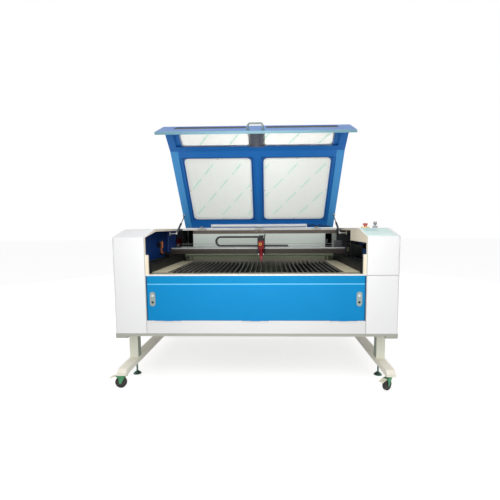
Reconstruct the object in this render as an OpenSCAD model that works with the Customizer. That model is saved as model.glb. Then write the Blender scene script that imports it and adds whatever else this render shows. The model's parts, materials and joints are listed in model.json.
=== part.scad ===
// Enclosed gantry laser cutter on a wheeled stand, lid standing open.
// Millimetres, +Z up, +X to the right seen from the front, the front faces -Y.
// Modules are written about the machine's middle, its front plane and the floor.

/* [Cabinet] */
// Width across the two side cabinets
body_w = 1900; // [1800:10:2100]
// Depth from the front plane to the back panel
body_d = 1350; // [1320:10:1500]
// Height of the cabinet tops above the floor
top_z = 1051; // [1040:1:1090]
// Width of each side cabinet
side_w = 218; // [200:1:250]
// Height of the base pan's underside above the floor
base_z = 330; // [310:1:350]
// Height of the base pan
base_h = 20; // [15:1:30]
// Depth of the sloping front of the cabinet tops
slope_d = 242; // [200:1:280]
// Fall of the sloping front
slope_h = 54; // [40:1:70]
// Sheet metal thickness
sheet = 2; // [1.5:0.5:3]
// Radius of the cabinets' upright outer edges
edge_r = 16; // [8:1:24]
// Height of the kick panel
kick_h = 87; // [70:1:100]
// Height of the drop-down front door
door_h = 251; // [230:1:260]
// Height of the rail over the front door
rail_h = 57; // [45:1:70]

/* [Lid] */
// Gap between the lid and each cabinet's inner side
lid_side = 37.5; // [34:0.5:60]
// Distance of the closed lid's front edge behind the front plane
lid_lead = 10.4; // [8:0.1:20]
// Length of the lid's sloping strip
lid_slope = 218; // [205:1:225]
// Fall of the sloping strip below the flat
lid_slope_a = 14.5; // [12:0.5:16]
// Length of the lid's steep front plate
lid_front = 249; // [220:1:252]
// Steepness of the front plate
lid_front_a = 73.3; // [70:0.1:76]
// Opening angle at which the struts stop the lid
lid_open = 50.9; // [35:0.1:60]
// Depth of the lid's folded rim
lid_depth = 18; // [14:1:24]
// Distance of the lid hinge before the rear wall
hinge_back = 12; // [10:1:20]
// Sheet between the large windows and the bend
win_end = 80; // [75:1:120]
// Sheet between the windows and the lid's side
win_side = 110; // [100:1:150]

/* [Table and motion] */
// Height of the blade tips above the floor
table_z = 760; // [755:1:765]
// Distance of the blade table before the rear wall
table_back = 187; // [170:1:260]
// Spacing of the knife blades
blade_pitch = 36; // [30:1:50]
// Least width of the ledge beside the blades
ledge_w = 105; // [95:1:160]
// Distance of the gantry beam behind the front plane
gantry_y = 640; // [560:1:700]
// Place of the laser head across the machine
head_x = 29; // [-100:1:100]
// Height of the gantry beam's section
beam_h = 50; // [44:1:56]

/* [Stand] */
// Distance of each foot runner in from the cabinet's side
runner_in = 76; // [60:1:90]
// Width of the runners and posts
tube_w = 60; // [50:1:64]
// Height of the runner's section
runner_h = 40; // [36:1:50]
// Reach of the runners in front of the front plane
nose_reach = 115; // [100:1:140]
// Radius of the caster wheels
wheel_r = 37.5; // [34:0.5:40]
// Radius of the levelling feet
foot_r = 29; // [22:1:34]

/* [Hidden] */
$fn = 48;

// Shared clearances
over = 1;            // overrun of every cut
fit = 0.05;          // radial play of a pin in its bore
play = 0.5;          // play between pieces that move past each other
seam = 1.5;          // visible seam between covers
seat = 0.3;          // air left at a seat of separate pieces

// Cabinet, derived
half_w = body_w / 2;
in_x = half_w - side_w;
runner_x = half_w - runner_in;
rear_d = 250;
rear_y = body_d - rear_d;
floor_z = base_z + base_h;
slope_z = top_z - slope_h;
kick_top = floor_z + kick_h;
door_z = kick_top + seam;
door_top = door_z + door_h;
rail_z = door_top + seam;
rim_z = rail_z + rail_h;
seam_z = rim_z - 6 * seat - sheet * 2;     // seam of the right cabinet, just under the rim
groove = 1.2;
base_rim = 60;
base_plate = 3;
fairing_w = 78;
fairing_h = 15;
fairing_d = 40;

// Inner walls and front panels
slot_low = 751.5;
slot_high = 955;
slot_y0 = 20;
slot_end = 18;
slot_y1 = rear_y - slot_end;
rim_w = 18;
curtain_d = 500;
jamb_w = 20;
jamb_h = 132;
panel_lip = 40;
rail_lip = 14;
wall_gap = 0.5;

// Rear housing
beam_front_d = 34;
beam_front_h = 14;
window_in = 102;
window_x0 = in_x - window_in;
window_z0 = 865;
window_z1 = 1000;
pad_in = 111;
pad_x = in_x - pad_in;
pad_z0 = 871;
pad_z1 = 1000;
pad_t = 6;
gap_in = 42;
right_gap_x = in_x - gap_in;
duct_r = 75;
duct_wall = 2;
duct_reach = 50;
duct_z = 520;
duct_flange_r = 95;
duct_flange_t = 3;
louvre_n = 6;
louvre_w = 160;
louvre_h = 8;
louvre_pitch = 24;
louvre_z = 760;
louvre_x = 420;

// Table
ledge_t = 3;
ledge_h = 46;
table_y0 = 42;
rail_t = 20;
rear_rail_h = 86;
front_rail_h = 40;
corner_r = 9;
corner_in = 82;
blade_t = 3;
blade_h = 40;
blade_edge = 0.8;
blade_bevel = 7;
tray_low = 470;
tray_high = 640;
tray_t = 2;
tray_y0 = 60;

// Rails and gantry
rail_off = 20;
rail_x = in_x + rail_off;
rail_beam_w = 60;
rail_beam_z0 = 752;
rail_lap = 32;
rail_in = in_x - rail_lap;
corner_x = rail_in - corner_in;
rail_beam_z1 = 816;
rail_w = 20;
rail_t2 = 12;
rail_y0 = 40;
rail_end = 24;
rail_y1 = rear_y - rail_end;
truck_l = 120;
truck_gap = 0.3;
truck_block = 14;
plate_t = 10;
beam_d = 60;
beam_z = rail_beam_z1 + rail_t2 + truck_gap + truck_block;
beam_slot = 8;
beam_slot_d = 9;
tray_strip = 34;
tray_in = 82;
tray_x0 = tray_in - in_x;
tray_gap = 0.9;
tray_x1 = 270;
xrail_w = 9;
xrail_h = 15;
belt_t = 2;
belt_w = 10;
pulley_r = 9;
belt_up = 22;
motor_s = 56;
motor_l = 52;
mirror_out = 58;
mirror_x = in_x + mirror_out;
beam_hole_r = 20;
mirror_r = 15;
mirror_plate = 52;
mirror_t = 8;
mirror_base = 40;
laser_z = 925;
spring_r = 3;
spring_off = 17;
post_w = 26;

// Y drive
shaft_r = 10;
shaft_back = 50;
shaft_y = rear_y - shaft_back;
shaft_z = 790;
shaft_out = 80;
shaft_x = in_x + shaft_out;
drive_r = 21;
drive_w = 18;

// Drag chains
link_h = 16;
link_w = 26;
link_pitch = 20;
link_gap = 0.8;
link_wall = 2.4;
xloop_x = -313;
xloop_top = 988;
xloop_r = 37;
xchain_end = 250;
ychain_out = 80;
ychain_x = in_x + ychain_out;
yloop_y = 400;
ytray_y = 160;
yloop_r = 20;
ychain_top = 958;
ychain_back = 140;
ychain_end = rear_y - ychain_back;

// Laser head
head_w = 46;
head_d = 50;
carriage_w = 60;
carriage_t = 8;
carriage_block = 12;
mirror_box_h = 84;
head_top_w = 34;
barrel_r = 15.5;
barrel_h = 54;
lens_r = 11.5;
lens_h = 62;
collar_r = 14;
collar_h = 12;
nozzle_r = 4;
nozzle_h = 22;
nozzle_tip = 783;
thumb_r = 5;
thumb_l = 8;
cap_r = 12.5;
cap_off = 6;
cap_t = 5;
hose_r = 4;
hose_n = 16;
hose_from = 8;
hose_swing = 55;
hose_lift = 115;
hose_fall = 27;
hose_x = head_w / 2 + hose_r + seat;
elbow_r = 6;
elbow_h = 18;
elbow_drop = 21;
arm_t = 4;
arm_w = 24;
head_y0 = gantry_y - xrail_w - play - carriage_block - carriage_t;

// Laser tube
glass_r = 40;
glass_lead = 172;
glass_tail = 112;
glass_x0 = glass_lead - in_x;
glass_x1 = in_x - glass_tail;
tube_in = 115;
tube_y = body_d - tube_in;
tube_cap_r = 24;
tube_cap_l = 46;
cradle_w = 40;
cradle_x = 380;
cradle_t = 54;

// Lid details
hinge_drop = 3.5;
hinge_z = top_z - hinge_drop;
hinge_y = rear_y - hinge_back;
lid_w = 2 * (in_x - lid_side);
lid_main = hinge_y - lid_lead - lid_slope * cos(lid_slope_a) - lid_front * cos(lid_front_a);
lid_start = 12;
lip_w = 60;
cross_back = 60;
cross_fore = 45;
mullion = 38;
win_in = 62.5;
win_from = 118;
win_h = lid_main - win_from - win_end;
win_w = lid_w / 2 - win_in - win_side;
win_r = 25;
pane_t = 3;
pane_lap = 12;
slope_win_from = 48;
slope_win_h = 114;
slope_win_r = 18;
front_win_from = 22;
front_win_h = 96;
front_win_in = 72;
front_win_r = 24;
handle_x = 52;
handle_up = 55;
handle_r = 6;
handle_reach = 42;
handle_bend = 16;
handle_foot_r = 11;
handle_foot_t = 4;
lamp_side = 246;
lamp_l = lid_w - 2 * lamp_side;
lamp_d = 26;
lamp_h = 16;
lamp_from = 30;
lamp_cap = 10;
lead_r = 3;
lead_n = 40;
lead_in = 32.5;
lead_to = lid_w / 2 - lead_in;
lead_wave = 9;
lead_turns = 3;
knuckle_r = 7;
knuckle_l = 30;
pin_r = 3;
leaf_t = 3;
leaf_l = 34;
lid_leaf = 16;
hinge_xs_shares = [-0.78, 0, 0.78];

// Gas struts
strut_side = 56;
strut_x = in_x - strut_side;
strut_back = 443;
strut_low_y = hinge_y - strut_back;
strut_low_z = 1011;
strut_from = 174;
strut_in = 16;
eye_r = 8;
eye_w = 9;
eye_pin_r = 4;
strut_r = 9;
strut_body = 190;
rod_r = 4;
rod_keep = 40;
bracket_t = 3;
bracket_h = 30;
bracket_w = 26;
stud_gap = 0.6;

// Door locks and controls
lock_in = 44;
lock_x = in_x - lock_in;
lock_z = 585;
lock_w = 37;
lock_l = 98;
lock_t = 4;
lock_cup = 12;
button_r = 11;
button_up = 22;
button_out = 3;
button_stem = 9;
key_r = 7;
key_slot_w = 2.5;
key_slot_h = 9;
door_rim = 18;
door_side = 2.5;
door_knuckle_r = 3;
door_pin_r = 1.5;
door_knuckle_l = 60;
door_hinge_shares = [-0.8, 0, 0.8];
panel_margin = 8;
panel_t = 3;
screen_w_share = 0.52;
screen_h_share = 0.42;
screen_deep = 1;
pad_size = 15;
pad_gap = 7;
pad_up = 1;
pad_rows = 3;
pad_cols = 3;
estop_in = 148;
estop_x = half_w - estop_in;
estop_y = 330;
estop_base_r = 30;
estop_base_h = 10;
estop_neck_r = 14;
estop_travel = 6;
estop_neck_h = 2 * estop_travel;
estop_cap_r = 18.5;
estop_cap_h = 13;
key_in = 77;
key_x = half_w - key_in;
ring_r = 18;
ring_h = 16;
barrel_key_r = 8;
bow_w = 24;
bow_h = 22;
bow_t = 3;
blade_key_h = 8;
bow_hole_r = 4;

// Stand details
runner_z = 98;
runner_end = 60;
runner_back = body_d - runner_end;
nose_rise = 20;
nose_run = 25;
post_front_y = 122;
post_end = 340;
post_back_y = body_d - post_end;
caster_front_y = -70;
caster_end = 110;
caster_back_y = body_d - caster_end;
caster_pad_w = 56;
caster_pad_t = 4;
swivel_r = 24;
swivel_h = 10;
trail = 22;
wheel_w = 24;
wheel_up = 1;
hub_r = 12;
hub_side = 1.5;
axle_r = 5;
fork_t = 3;
fork_gap = 2;
fork_crown = 5;
fork_foot_r = 9;
fork_top_w = 46;
swivel_rots = [0, 40, 0, 0];
pedal_reach = 94;
pedal_pivot_x = 44;
pedal_pivot_z = 79;
pedal_t = 4;
pedal_w = 32;
pedal_pin_r = 2.5;
pedal_eye_r = 4.5;
foot_y = 172;
foot_end = 220;
foot_back_y = body_d - foot_end;
foot_t = 8;
foot_cone = 12;
stud_r = 6;
stud_top = 126;
nut_r = 11;
nut_h = 9;
stud_play = 0.3;

// Frame: the box of the whole part is centred on the origin
pedal_over = max(0, runner_x + pedal_reach - half_w);
x_shift = pedal_over / 2;
front_reach = max(nose_reach, pedal_reach * sin(swivel_rots[1]) + pedal_w / 2 * cos(swivel_rots[1])
    - caster_front_y);
y_shift = (front_reach - body_d - duct_reach) / 2;

// Small helpers
module placed() { translate([x_shift, y_shift, 0]) children(); }
module box(x0, x1, y0, y1, z0, z1) {
    translate([x0, y0, z0]) cube([x1 - x0, y1 - y0, z1 - z0]);
}
module xcyl(r, x0, x1, y, z) { translate([x0, y, z]) rotate([0, 90, 0]) cylinder(r = r, h = x1 - x0); }
module ycyl(r, y0, y1, x, z) { translate([x, y1, z]) rotate([90, 0, 0]) cylinder(r = r, h = y1 - y0); }
module zcyl(r, z0, z1, x, y) { translate([x, y, z0]) cylinder(r = r, h = z1 - z0); }
module xprofile(x0, x1) { translate([x0, 0, 0]) rotate([90, 0, 90]) linear_extrude(x1 - x0) children(); }
module yprofile(y0, y1) { translate([0, y1, 0]) rotate([90, 0, 0]) linear_extrude(y1 - y0) children(); }
module both() { children(); mirror([1, 0, 0]) children(); }
module rounded(w, h, r) {
    translate([-w / 2 + r, -h / 2]) square([w - 2 * r, h]);
    translate([-w / 2, -h / 2 + r]) square([w, h - 2 * r]);
    for (sx = [-1, 1], sy = [-1, 1]) translate([sx * (w / 2 - r), sy * (h / 2 - r)]) circle(r);
}

// Open polyline offsets, for folded sheet profiles
function unit(v) = v / norm(v);
function left_of(v) = [-v[1], v[0]];
function side_dir(p, i) = let(n = len(p) - 1,
    a = i == 0 ? unit(p[1] - p[0]) : unit(p[i] - p[i - 1]),
    b = i == n ? unit(p[n] - p[n - 1]) : unit(p[i + 1] - p[i]),
    m = unit(left_of(a) + left_of(b))) m / (m * left_of(a));
function off_line(p, d) = [for (i = [0:len(p) - 1]) p[i] - side_dir(p, i) * d];
function back_of(p) = [for (i = [len(p) - 1:-1:0]) p[i]];
function band(p, d0, d1) = concat(off_line(p, d1), back_of(off_line(p, d0)));

// Sides of a swept cord
cord_sides = 8;
function ring_at(p, t, r) = let(a = unit(t),
    u = unit(cross(a, abs(a[2]) < 0.9 ? [0, 0, 1] : [1, 0, 0])), v = cross(a, u))
    [for (k = [0:cord_sides - 1]) p + r * (cos(360 * k / cord_sides) * u + sin(360 * k / cord_sides) * v)];
module cord(path, r) {
    n = len(path);
    t = [for (i = [0:n - 1]) i == 0 ? path[1] - path[0] :
        i == n - 1 ? path[i] - path[i - 1] : path[i + 1] - path[i - 1]];
    pts = [for (i = [0:n - 1], q = ring_at(path[i], t[i], r)) q];
    sides = [for (i = [0:n - 2], k = [0:cord_sides - 1])
        let(a = i * cord_sides + k, b = i * cord_sides + (k + 1) % cord_sides)
        [a, a + cord_sides, b + cord_sides, b]];
    ends = [[for (k = [0:cord_sides - 1]) k],
        [for (k = [cord_sides - 1:-1:0]) (n - 1) * cord_sides + k]];
    polyhedron(pts, concat(sides, ends));
}
function mix(a, b, t) = a + (b - a) * t;

// Stand

module base_frame() {
    color("#c8c8b8") placed() {
        difference() {
            box(-half_w + sheet, half_w - sheet, 0, body_d - sheet, base_z, floor_z);
            box(-half_w + base_rim, half_w - base_rim, base_rim, body_d - base_rim,
                base_z + base_plate, floor_z + over);
        }
        both() xprofile(half_w - sheet - fairing_w, half_w - sheet)
            polygon([[0, base_z], [0, base_z - fairing_h / 2], [fairing_h / 2, base_z - fairing_h],
                [fairing_d, base_z - fairing_h], [fairing_d, base_z]]);
    }
}

module stand_posts() {
    color("#d8cdb8") placed() both() for (y = [post_front_y, post_back_y])
        box(runner_x - tube_w / 2, runner_x + tube_w / 2, y, y + tube_w, runner_z + runner_h, base_z);
}

module foot_runners() {
    top = runner_z + runner_h;
    color("#e3dccb") placed() both() difference() {
        union() {
            xprofile(runner_x - tube_w / 2, runner_x + tube_w / 2)
                polygon([[-nose_reach, runner_z], [-nose_reach, runner_z + nose_rise],
                    [-nose_reach + nose_run, top], [runner_back - nose_run, top],
                    [runner_back, runner_z + nose_rise], [runner_back, runner_z]]);
            for (y = [caster_front_y, caster_back_y])
                box(runner_x - caster_pad_w / 2, runner_x + caster_pad_w / 2, y - caster_pad_w / 2 + over,
                    y + caster_pad_w / 2 - over, runner_z - caster_pad_t, runner_z);
        }
        for (y = [foot_y, foot_back_y])
            zcyl(stud_r + stud_play, runner_z - over, stud_top + play, runner_x, y);
    }
}

// Casters: drawn about the swivel axis with the wheel trailing to -X

wheel_z = wheel_r + wheel_up;
swivel_z = runner_z - caster_pad_t;
fork_y = wheel_w / 2 + fork_gap;

module caster_fork() {
    crown_z = swivel_z - swivel_h;
    zcyl(swivel_r, crown_z, swivel_z, 0, 0);
    box(-fork_top_w / 2 - trail / 2, fork_top_w / 2 - trail / 2, -fork_y - fork_t, fork_y + fork_t,
        crown_z - fork_crown, crown_z);
    for (s = [-1, 1]) yprofile(s > 0 ? fork_y : -fork_y - fork_t, s > 0 ? fork_y + fork_t : -fork_y) {
        polygon([[-fork_top_w / 2 - trail / 2, crown_z], [fork_top_w / 2 - trail / 2, crown_z],
            [-trail + fork_foot_r, wheel_z], [-trail - fork_foot_r, wheel_z]]);
        translate([-trail, wheel_z]) circle(fork_foot_r);
    }
    ycyl(axle_r, -fork_y - fork_t, fork_y + fork_t, -trail, wheel_z);
}

module caster_fork_braked() {
    for (s = [-1, 1]) yprofile(s > 0 ? fork_y : -fork_y - fork_t, s > 0 ? fork_y + fork_t : -fork_y)
        polygon([[-pedal_pivot_x - pedal_eye_r, pedal_pivot_z - pedal_eye_r],
            [-pedal_pivot_x - pedal_eye_r, swivel_z - swivel_h],
            [-fork_top_w / 2 - trail / 2 + pedal_eye_r, swivel_z - swivel_h],
            [-fork_top_w / 2 - trail / 2 + pedal_eye_r, pedal_pivot_z - pedal_eye_r]]);
    ycyl(pedal_pin_r, -fork_y - fork_t, fork_y + fork_t, -pedal_pivot_x, pedal_pivot_z);
    caster_fork();
}

module caster_wheel() {
    difference() {
        translate([-trail, 0, wheel_z]) rotate([90, 0, 0]) rotate_extrude()
            polygon([[axle_r + fit, -wheel_w / 2 - hub_side], [hub_r, -wheel_w / 2 - hub_side],
                [hub_r, -wheel_w / 2 + hub_side], [wheel_r - fork_t * 2, -wheel_w / 2 + hub_side],
                [wheel_r - fork_t * 2, -wheel_w / 2], [wheel_r - fork_t, -wheel_w / 2],
                [wheel_r, -wheel_w / 2 + fork_t], [wheel_r, wheel_w / 2 - fork_t],
                [wheel_r - fork_t, wheel_w / 2], [wheel_r - fork_t * 2, wheel_w / 2],
                [wheel_r - fork_t * 2, wheel_w / 2 - hub_side], [hub_r, wheel_w / 2 - hub_side],
                [hub_r, wheel_w / 2 + hub_side], [axle_r + fit, wheel_w / 2 + hub_side]]);
    }
}

module brake_pedal() {
    inner = fork_y - play;
    difference() {
        union() {
            ycyl(pedal_eye_r, -inner, inner, -pedal_pivot_x, pedal_pivot_z);
            yprofile(-inner, inner) polygon([
                [-pedal_pivot_x, pedal_pivot_z - pedal_eye_r], [-pedal_pivot_x,
                    pedal_pivot_z + pedal_eye_r],
                [-trail - wheel_r, pedal_pivot_z + pedal_t], [-trail - wheel_r, pedal_pivot_z]]);
            yprofile(-pedal_w / 2, pedal_w / 2) polygon([
                [-trail - wheel_r + pedal_t, pedal_pivot_z], [-trail - wheel_r + pedal_t,
                    pedal_pivot_z + pedal_t],
                [-pedal_reach + pedal_t, pedal_pivot_z - pedal_t], [-pedal_reach,
                    pedal_pivot_z - pedal_t * 2],
                [-pedal_reach + pedal_t / 2, pedal_pivot_z - pedal_t * 2.5]]);
        }
        ycyl(pedal_pin_r + fit, -inner - over, inner + over, -pedal_pivot_x, pedal_pivot_z);
    }
}

module at_caster(i) {
    placed() translate([i % 2 == 0 ? -runner_x : runner_x, i < 2 ? caster_front_y : caster_back_y, 0])
        rotate([0, 0, swivel_rots[i]]) children();
}
module caster_fork_fl() { color("#4e9468") at_caster(0) caster_fork_braked(); }
module caster_fork_fr() { color("#4e9468") at_caster(1) caster_fork_braked(); }
module caster_fork_rl() { color("#4e9468") at_caster(2) caster_fork(); }
module caster_fork_rr() { color("#4e9468") at_caster(3) caster_fork(); }
module caster_wheel_fl() { color("#2a2420") at_caster(0) caster_wheel(); }
module caster_wheel_fr() { color("#2a2420") at_caster(1) caster_wheel(); }
module caster_wheel_rl() { color("#2a2420") at_caster(2) caster_wheel(); }
module caster_wheel_rr() { color("#2a2420") at_caster(3) caster_wheel(); }
module brake_pedal_fl() { color("#e9e5cf") at_caster(0) brake_pedal(); }
module brake_pedal_fr() { color("#e9e5cf") at_caster(1) brake_pedal(); }

module level_foot(sx, y) {
    placed() translate([sx * runner_x, y, 0]) {
        rotate_extrude() polygon([[0, 0], [foot_r, 0], [foot_r, foot_t / 2], [foot_r - foot_t / 2, foot_t],
            [stud_r * 2, foot_t + foot_cone], [stud_r, foot_t + foot_cone], [stud_r, stud_top], [0,
                stud_top]]);
        difference() {
            translate([0, 0, runner_z - seat - nut_h]) cylinder(r = nut_r, h = nut_h, $fn = 6);
            zcyl(stud_r - fit, 0, runner_z, 0, 0);
        }
    }
}
module level_foot_fl() { color("#6f7f78") level_foot(-1, foot_y); }
module level_foot_fr() { color("#6f7f78") level_foot(1, foot_y); }
module level_foot_rl() { color("#6f7f78") level_foot(-1, foot_back_y); }
module level_foot_rr() { color("#6f7f78") level_foot(1, foot_back_y); }

// Cabinets

function cab_side(t, low = 0) = let(k = t * (norm([slope_d, slope_h]) - slope_h) / slope_d,
    k2 = t * (norm([slope_d, slope_h]) - slope_d) / slope_h)
    [[t, floor_z - low], [t, slope_z - k2], [slope_d + k, top_z - t], [body_d - t, top_z - t],
        [body_d - t, floor_z - low]];

module cab_plan(t, x0) {
    r = edge_r - t;
    translate([x0, t]) square([half_w - edge_r - x0, body_d - 2 * t]);
    translate([x0, edge_r]) square([half_w - t - x0, body_d - 2 * edge_r]);
    for (y = [edge_r, body_d - edge_r]) translate([half_w - edge_r, y]) circle(r);
}

module cab_shell(z0, z1) {
    difference() {
        intersection() {
            xprofile(in_x, half_w) polygon(cab_side(0));
            translate([0, 0, z0]) linear_extrude(z1 - z0) cab_plan(0, in_x);
        }
        intersection() {
            xprofile(in_x - over, half_w - sheet) polygon(cab_side(sheet, over));
            linear_extrude(top_z) cab_plan(sheet, in_x - over);
        }
        children();
    }
}

module side_louvres() {
    for (i = [0:louvre_n - 1]) box(half_w - sheet - over, half_w + over, louvre_x, louvre_x + louvre_w,
        louvre_z - i * louvre_pitch - louvre_h, louvre_z - i * louvre_pitch);
}

module left_cabinet() {
    color("#f1f1f1") placed() mirror([1, 0, 0]) cab_shell(floor_z, top_z) side_louvres();
}

module right_cabinet() {
    color("#f1f1f1") placed() cab_shell(seam_z, top_z) union() {
        zcyl(estop_neck_r + play, top_z - sheet - over, top_z + over, estop_x, estop_y);
        zcyl(barrel_key_r + play, top_z - sheet - over, top_z + over, key_x, estop_y);
    }
}

module right_lower_cover() {
    color("#f1f1f1") placed() cab_shell(floor_z, seam_z) union() {
        translate([0, 0, -louvre_pitch * 2]) side_louvres();
        box(in_x - over, half_w + over, -over, groove, seam_z - seam, seam_z + over);
    }
}

module side_opening() {
    intersection() {
        polygon(cab_side(rim_w));
        translate([slot_y0, slot_low]) square([slot_y1 - slot_y0, top_z]);
    }
}

module inner_wall(curtain) {
    difference() {
        xprofile(in_x, in_x + sheet) polygon(cab_side(sheet));
        xprofile(in_x - over, in_x + sheet + over) difference() {
            side_opening();
            translate([0, slot_high]) square([curtain, top_z]);
        }
        xcyl(beam_hole_r, in_x - over, in_x + sheet + over, tube_y, laser_z);
    }
    box(in_x - jamb_w, in_x - wall_gap, 0, jamb_w, rim_z, rim_z + jamb_h);
}

module inner_walls() {
    color("#e3dccb") placed() {
        mirror([1, 0, 0]) inner_wall(slot_y0);
        inner_wall(curtain_d);
    }
}

module rear_wall() {
    color("#b7beb4") placed() difference() {
        union() {
            box(-in_x + wall_gap, in_x - wall_gap, rear_y, rear_y + sheet, floor_z, top_z - sheet);
            box(-in_x + wall_gap, in_x - wall_gap, rear_y, rear_y + beam_front_d,
                top_z - sheet - beam_front_h, top_z - sheet);
            box(-pad_x, pad_x, rear_y - pad_t, rear_y + sheet, pad_z0, pad_z1);
        }
        box(-in_x - over, -window_x0, rear_y - over, rear_y + sheet + over, window_z0,
            top_z - sheet - beam_front_h);
        box(pad_x + pad_t, right_gap_x, rear_y - over, rear_y + sheet + over, window_z0, window_z1);
    }
    color("#b7beb4") placed() box(in_x + sheet + wall_gap, half_w - sheet - wall_gap, rear_y,
        rear_y + sheet,
        floor_z, top_z - sheet - wall_gap);
}

module rear_cover() {
    color("#f1f1f1") placed() {
        difference() {
            xprofile(-in_x + wall_gap, in_x - wall_gap) polygon([[rear_y, top_z - sheet], [rear_y, top_z],
                [body_d, top_z], [body_d, floor_z], [body_d - sheet, floor_z], [body_d - sheet,
                    top_z - sheet]]);
            ycyl(duct_r - duct_wall, body_d - sheet - over, body_d + over, 0, duct_z);
        }
        difference() {
            union() {
                ycyl(duct_r, body_d - sheet / 2, body_d + duct_reach, 0, duct_z);
                ycyl(duct_flange_r, body_d - sheet / 2, body_d + duct_flange_t, 0, duct_z);
            }
            ycyl(duct_r - duct_wall, body_d - sheet - over, body_d + duct_reach + over, 0, duct_z);
        }
    }
}

// Door hinge places along the door's lower edge
function door_hinges() = [for (s = door_hinge_shares) s * in_x];

module front_panels() {
    w = in_x - wall_gap;
    color("#1e97d9") placed() {
        xprofile(-w, w) polygon([[0, rail_z], [0, rim_z], [panel_lip, rim_z], [panel_lip, rim_z - rail_lip],
            [panel_lip - sheet, rim_z - rail_lip], [panel_lip - sheet, rim_z - sheet], [sheet,
                rim_z - sheet],
            [sheet, rail_z + sheet], [panel_lip, rail_z + sheet], [panel_lip, rail_z]]);
        difference() {
            union() {
                xprofile(-w, w) polygon([[0, floor_z], [0, kick_top], [panel_lip, kick_top],
                    [panel_lip, kick_top - sheet], [sheet, kick_top - sheet], [sheet, floor_z]]);
                for (x = door_hinges(), s = [-1, 1]) {
                    xcyl(door_knuckle_r - fit, x + s * door_knuckle_l - door_knuckle_l / 2 + play,
                        x + s * door_knuckle_l + door_knuckle_l / 2 - play, -door_knuckle_r, door_z);
                    box(x + s * door_knuckle_l - door_knuckle_l / 2 + play,
                        x + s * door_knuckle_l + door_knuckle_l / 2 - play, -door_knuckle_r, 0,
                        kick_top - door_knuckle_r * 3, kick_top);
                }
            }
            for (x = door_hinges()) xcyl(door_pin_r + 2 * fit, x - 2 * door_knuckle_l,
                x + 2 * door_knuckle_l,
                -door_knuckle_r, door_z);
        }
    }
}

module front_door() {
    w = in_x - door_side;
    axis_y = -door_knuckle_r;
    color("#1e97d9") placed() {
        difference() {
            box(-w, w, 0, door_rim, door_z, door_top);
            box(-w + sheet, w - sheet, sheet, door_rim + over, door_z + sheet, door_top - sheet);
            for (s = [-1, 1]) {
                ycyl(button_r + play, -over, sheet + over, s * lock_x, lock_z + button_up);
                ycyl(key_r + play, -over, sheet + over, s * lock_x, lock_z - button_up);
            }
        }
        for (x = door_hinges()) {
            xcyl(door_pin_r, x - door_knuckle_l * 1.5 + play, x + door_knuckle_l * 1.5 - play, axis_y,
                door_z);
            xcyl(door_knuckle_r, x - door_knuckle_l / 2, x + door_knuckle_l / 2, axis_y, door_z);
            box(x - door_knuckle_l / 2, x + door_knuckle_l / 2, axis_y, 0, door_z,
                door_z + door_knuckle_r * 3);
        }
    }
}

module lock_plate_shape() {
    r = lock_w / 2;
    translate([-r, -lock_l / 2 + r]) square([lock_w, lock_l - lock_w]);
    for (s = [-1, 1]) translate([0, s * (lock_l / 2 - r)]) circle(r);
}

module door_locks() {
    color("#c4c8ca") placed() both() translate([lock_x, 0, lock_z]) difference() {
        union() {
            yprofile(-lock_t, 0) lock_plate_shape();
            ycyl(button_r + play - fit * 2, 0, lock_cup, 0, button_up);
            ycyl(key_r, -lock_t - sheet, lock_cup, 0, -button_up);
        }
        ycyl(button_r - sheet + fit, -lock_t - over, lock_cup - sheet, 0, button_up);
        box(-key_slot_w / 2, key_slot_w / 2, -lock_t - sheet - over, 0, -button_up - key_slot_h / 2,
            -button_up + key_slot_h / 2);
    }
}

module lock_button(sx) {
    r = button_r - sheet;
    color("#d5d8da") placed() translate([sx * lock_x, 0, lock_z + button_up])
        rotate([90, 0, 0]) rotate_extrude() polygon([[0, -button_stem / 2], [r, -button_stem / 2],
            [r, lock_t + button_out - seam], [r - seam, lock_t + button_out], [0, lock_t + button_out]]);
}
module left_lock_button() { lock_button(-1); }
module right_lock_button() { lock_button(1); }

// Controls on the right cabinet

slope_l = norm([slope_d, slope_h]);
slope_a = atan2(slope_h, slope_d);

module control_panel() {
    w = side_w - edge_r - 2 * panel_margin;
    l = slope_l - 2 * panel_margin;
    sw = w * screen_w_share;
    sl = l * screen_h_share;
    step = pad_size + pad_gap;
    color("#a9cfd2") placed() translate([in_x + panel_margin, 0, slope_z]) rotate([slope_a, 0, 0])
        translate([0, panel_margin, fit]) {
            difference() {
                cube([w, l, panel_t]);
                translate([panel_margin, l - sl - panel_margin, panel_t - screen_deep])
                    cube([sw, sl, screen_deep + over]);
            }
            for (i = [0:pad_cols - 1], j = [0:pad_rows - 1])
                translate([w - panel_margin - (i + 1) * step + pad_gap, panel_margin + j * step, panel_t])
                    cube([pad_size, pad_size, pad_up]);
            for (i = [0:pad_cols - 1])
                translate([panel_margin + i * step, panel_margin, panel_t]) cube([pad_size, pad_size,
                    pad_up]);
        }
}

module switch_bodies() {
    color("#e3b820") placed() {
        difference() {
            union() {
                zcyl(estop_base_r, top_z, top_z + estop_base_h, estop_x, estop_y);
                zcyl(estop_neck_r, top_z - estop_neck_h, top_z + estop_base_h, estop_x, estop_y);
            }
            zcyl(estop_neck_r - sheet, top_z - estop_neck_h + sheet, top_z + estop_base_h + over,
                estop_x, estop_y);
        }
        difference() {
            union() {
                zcyl(ring_r, top_z, top_z + ring_h, key_x, estop_y);
                zcyl(barrel_key_r, top_z - estop_neck_h, top_z + ring_h, key_x, estop_y);
            }
            zcyl(barrel_key_r - sheet, top_z, top_z + ring_h + over, key_x, estop_y);
        }
    }
}

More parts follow.
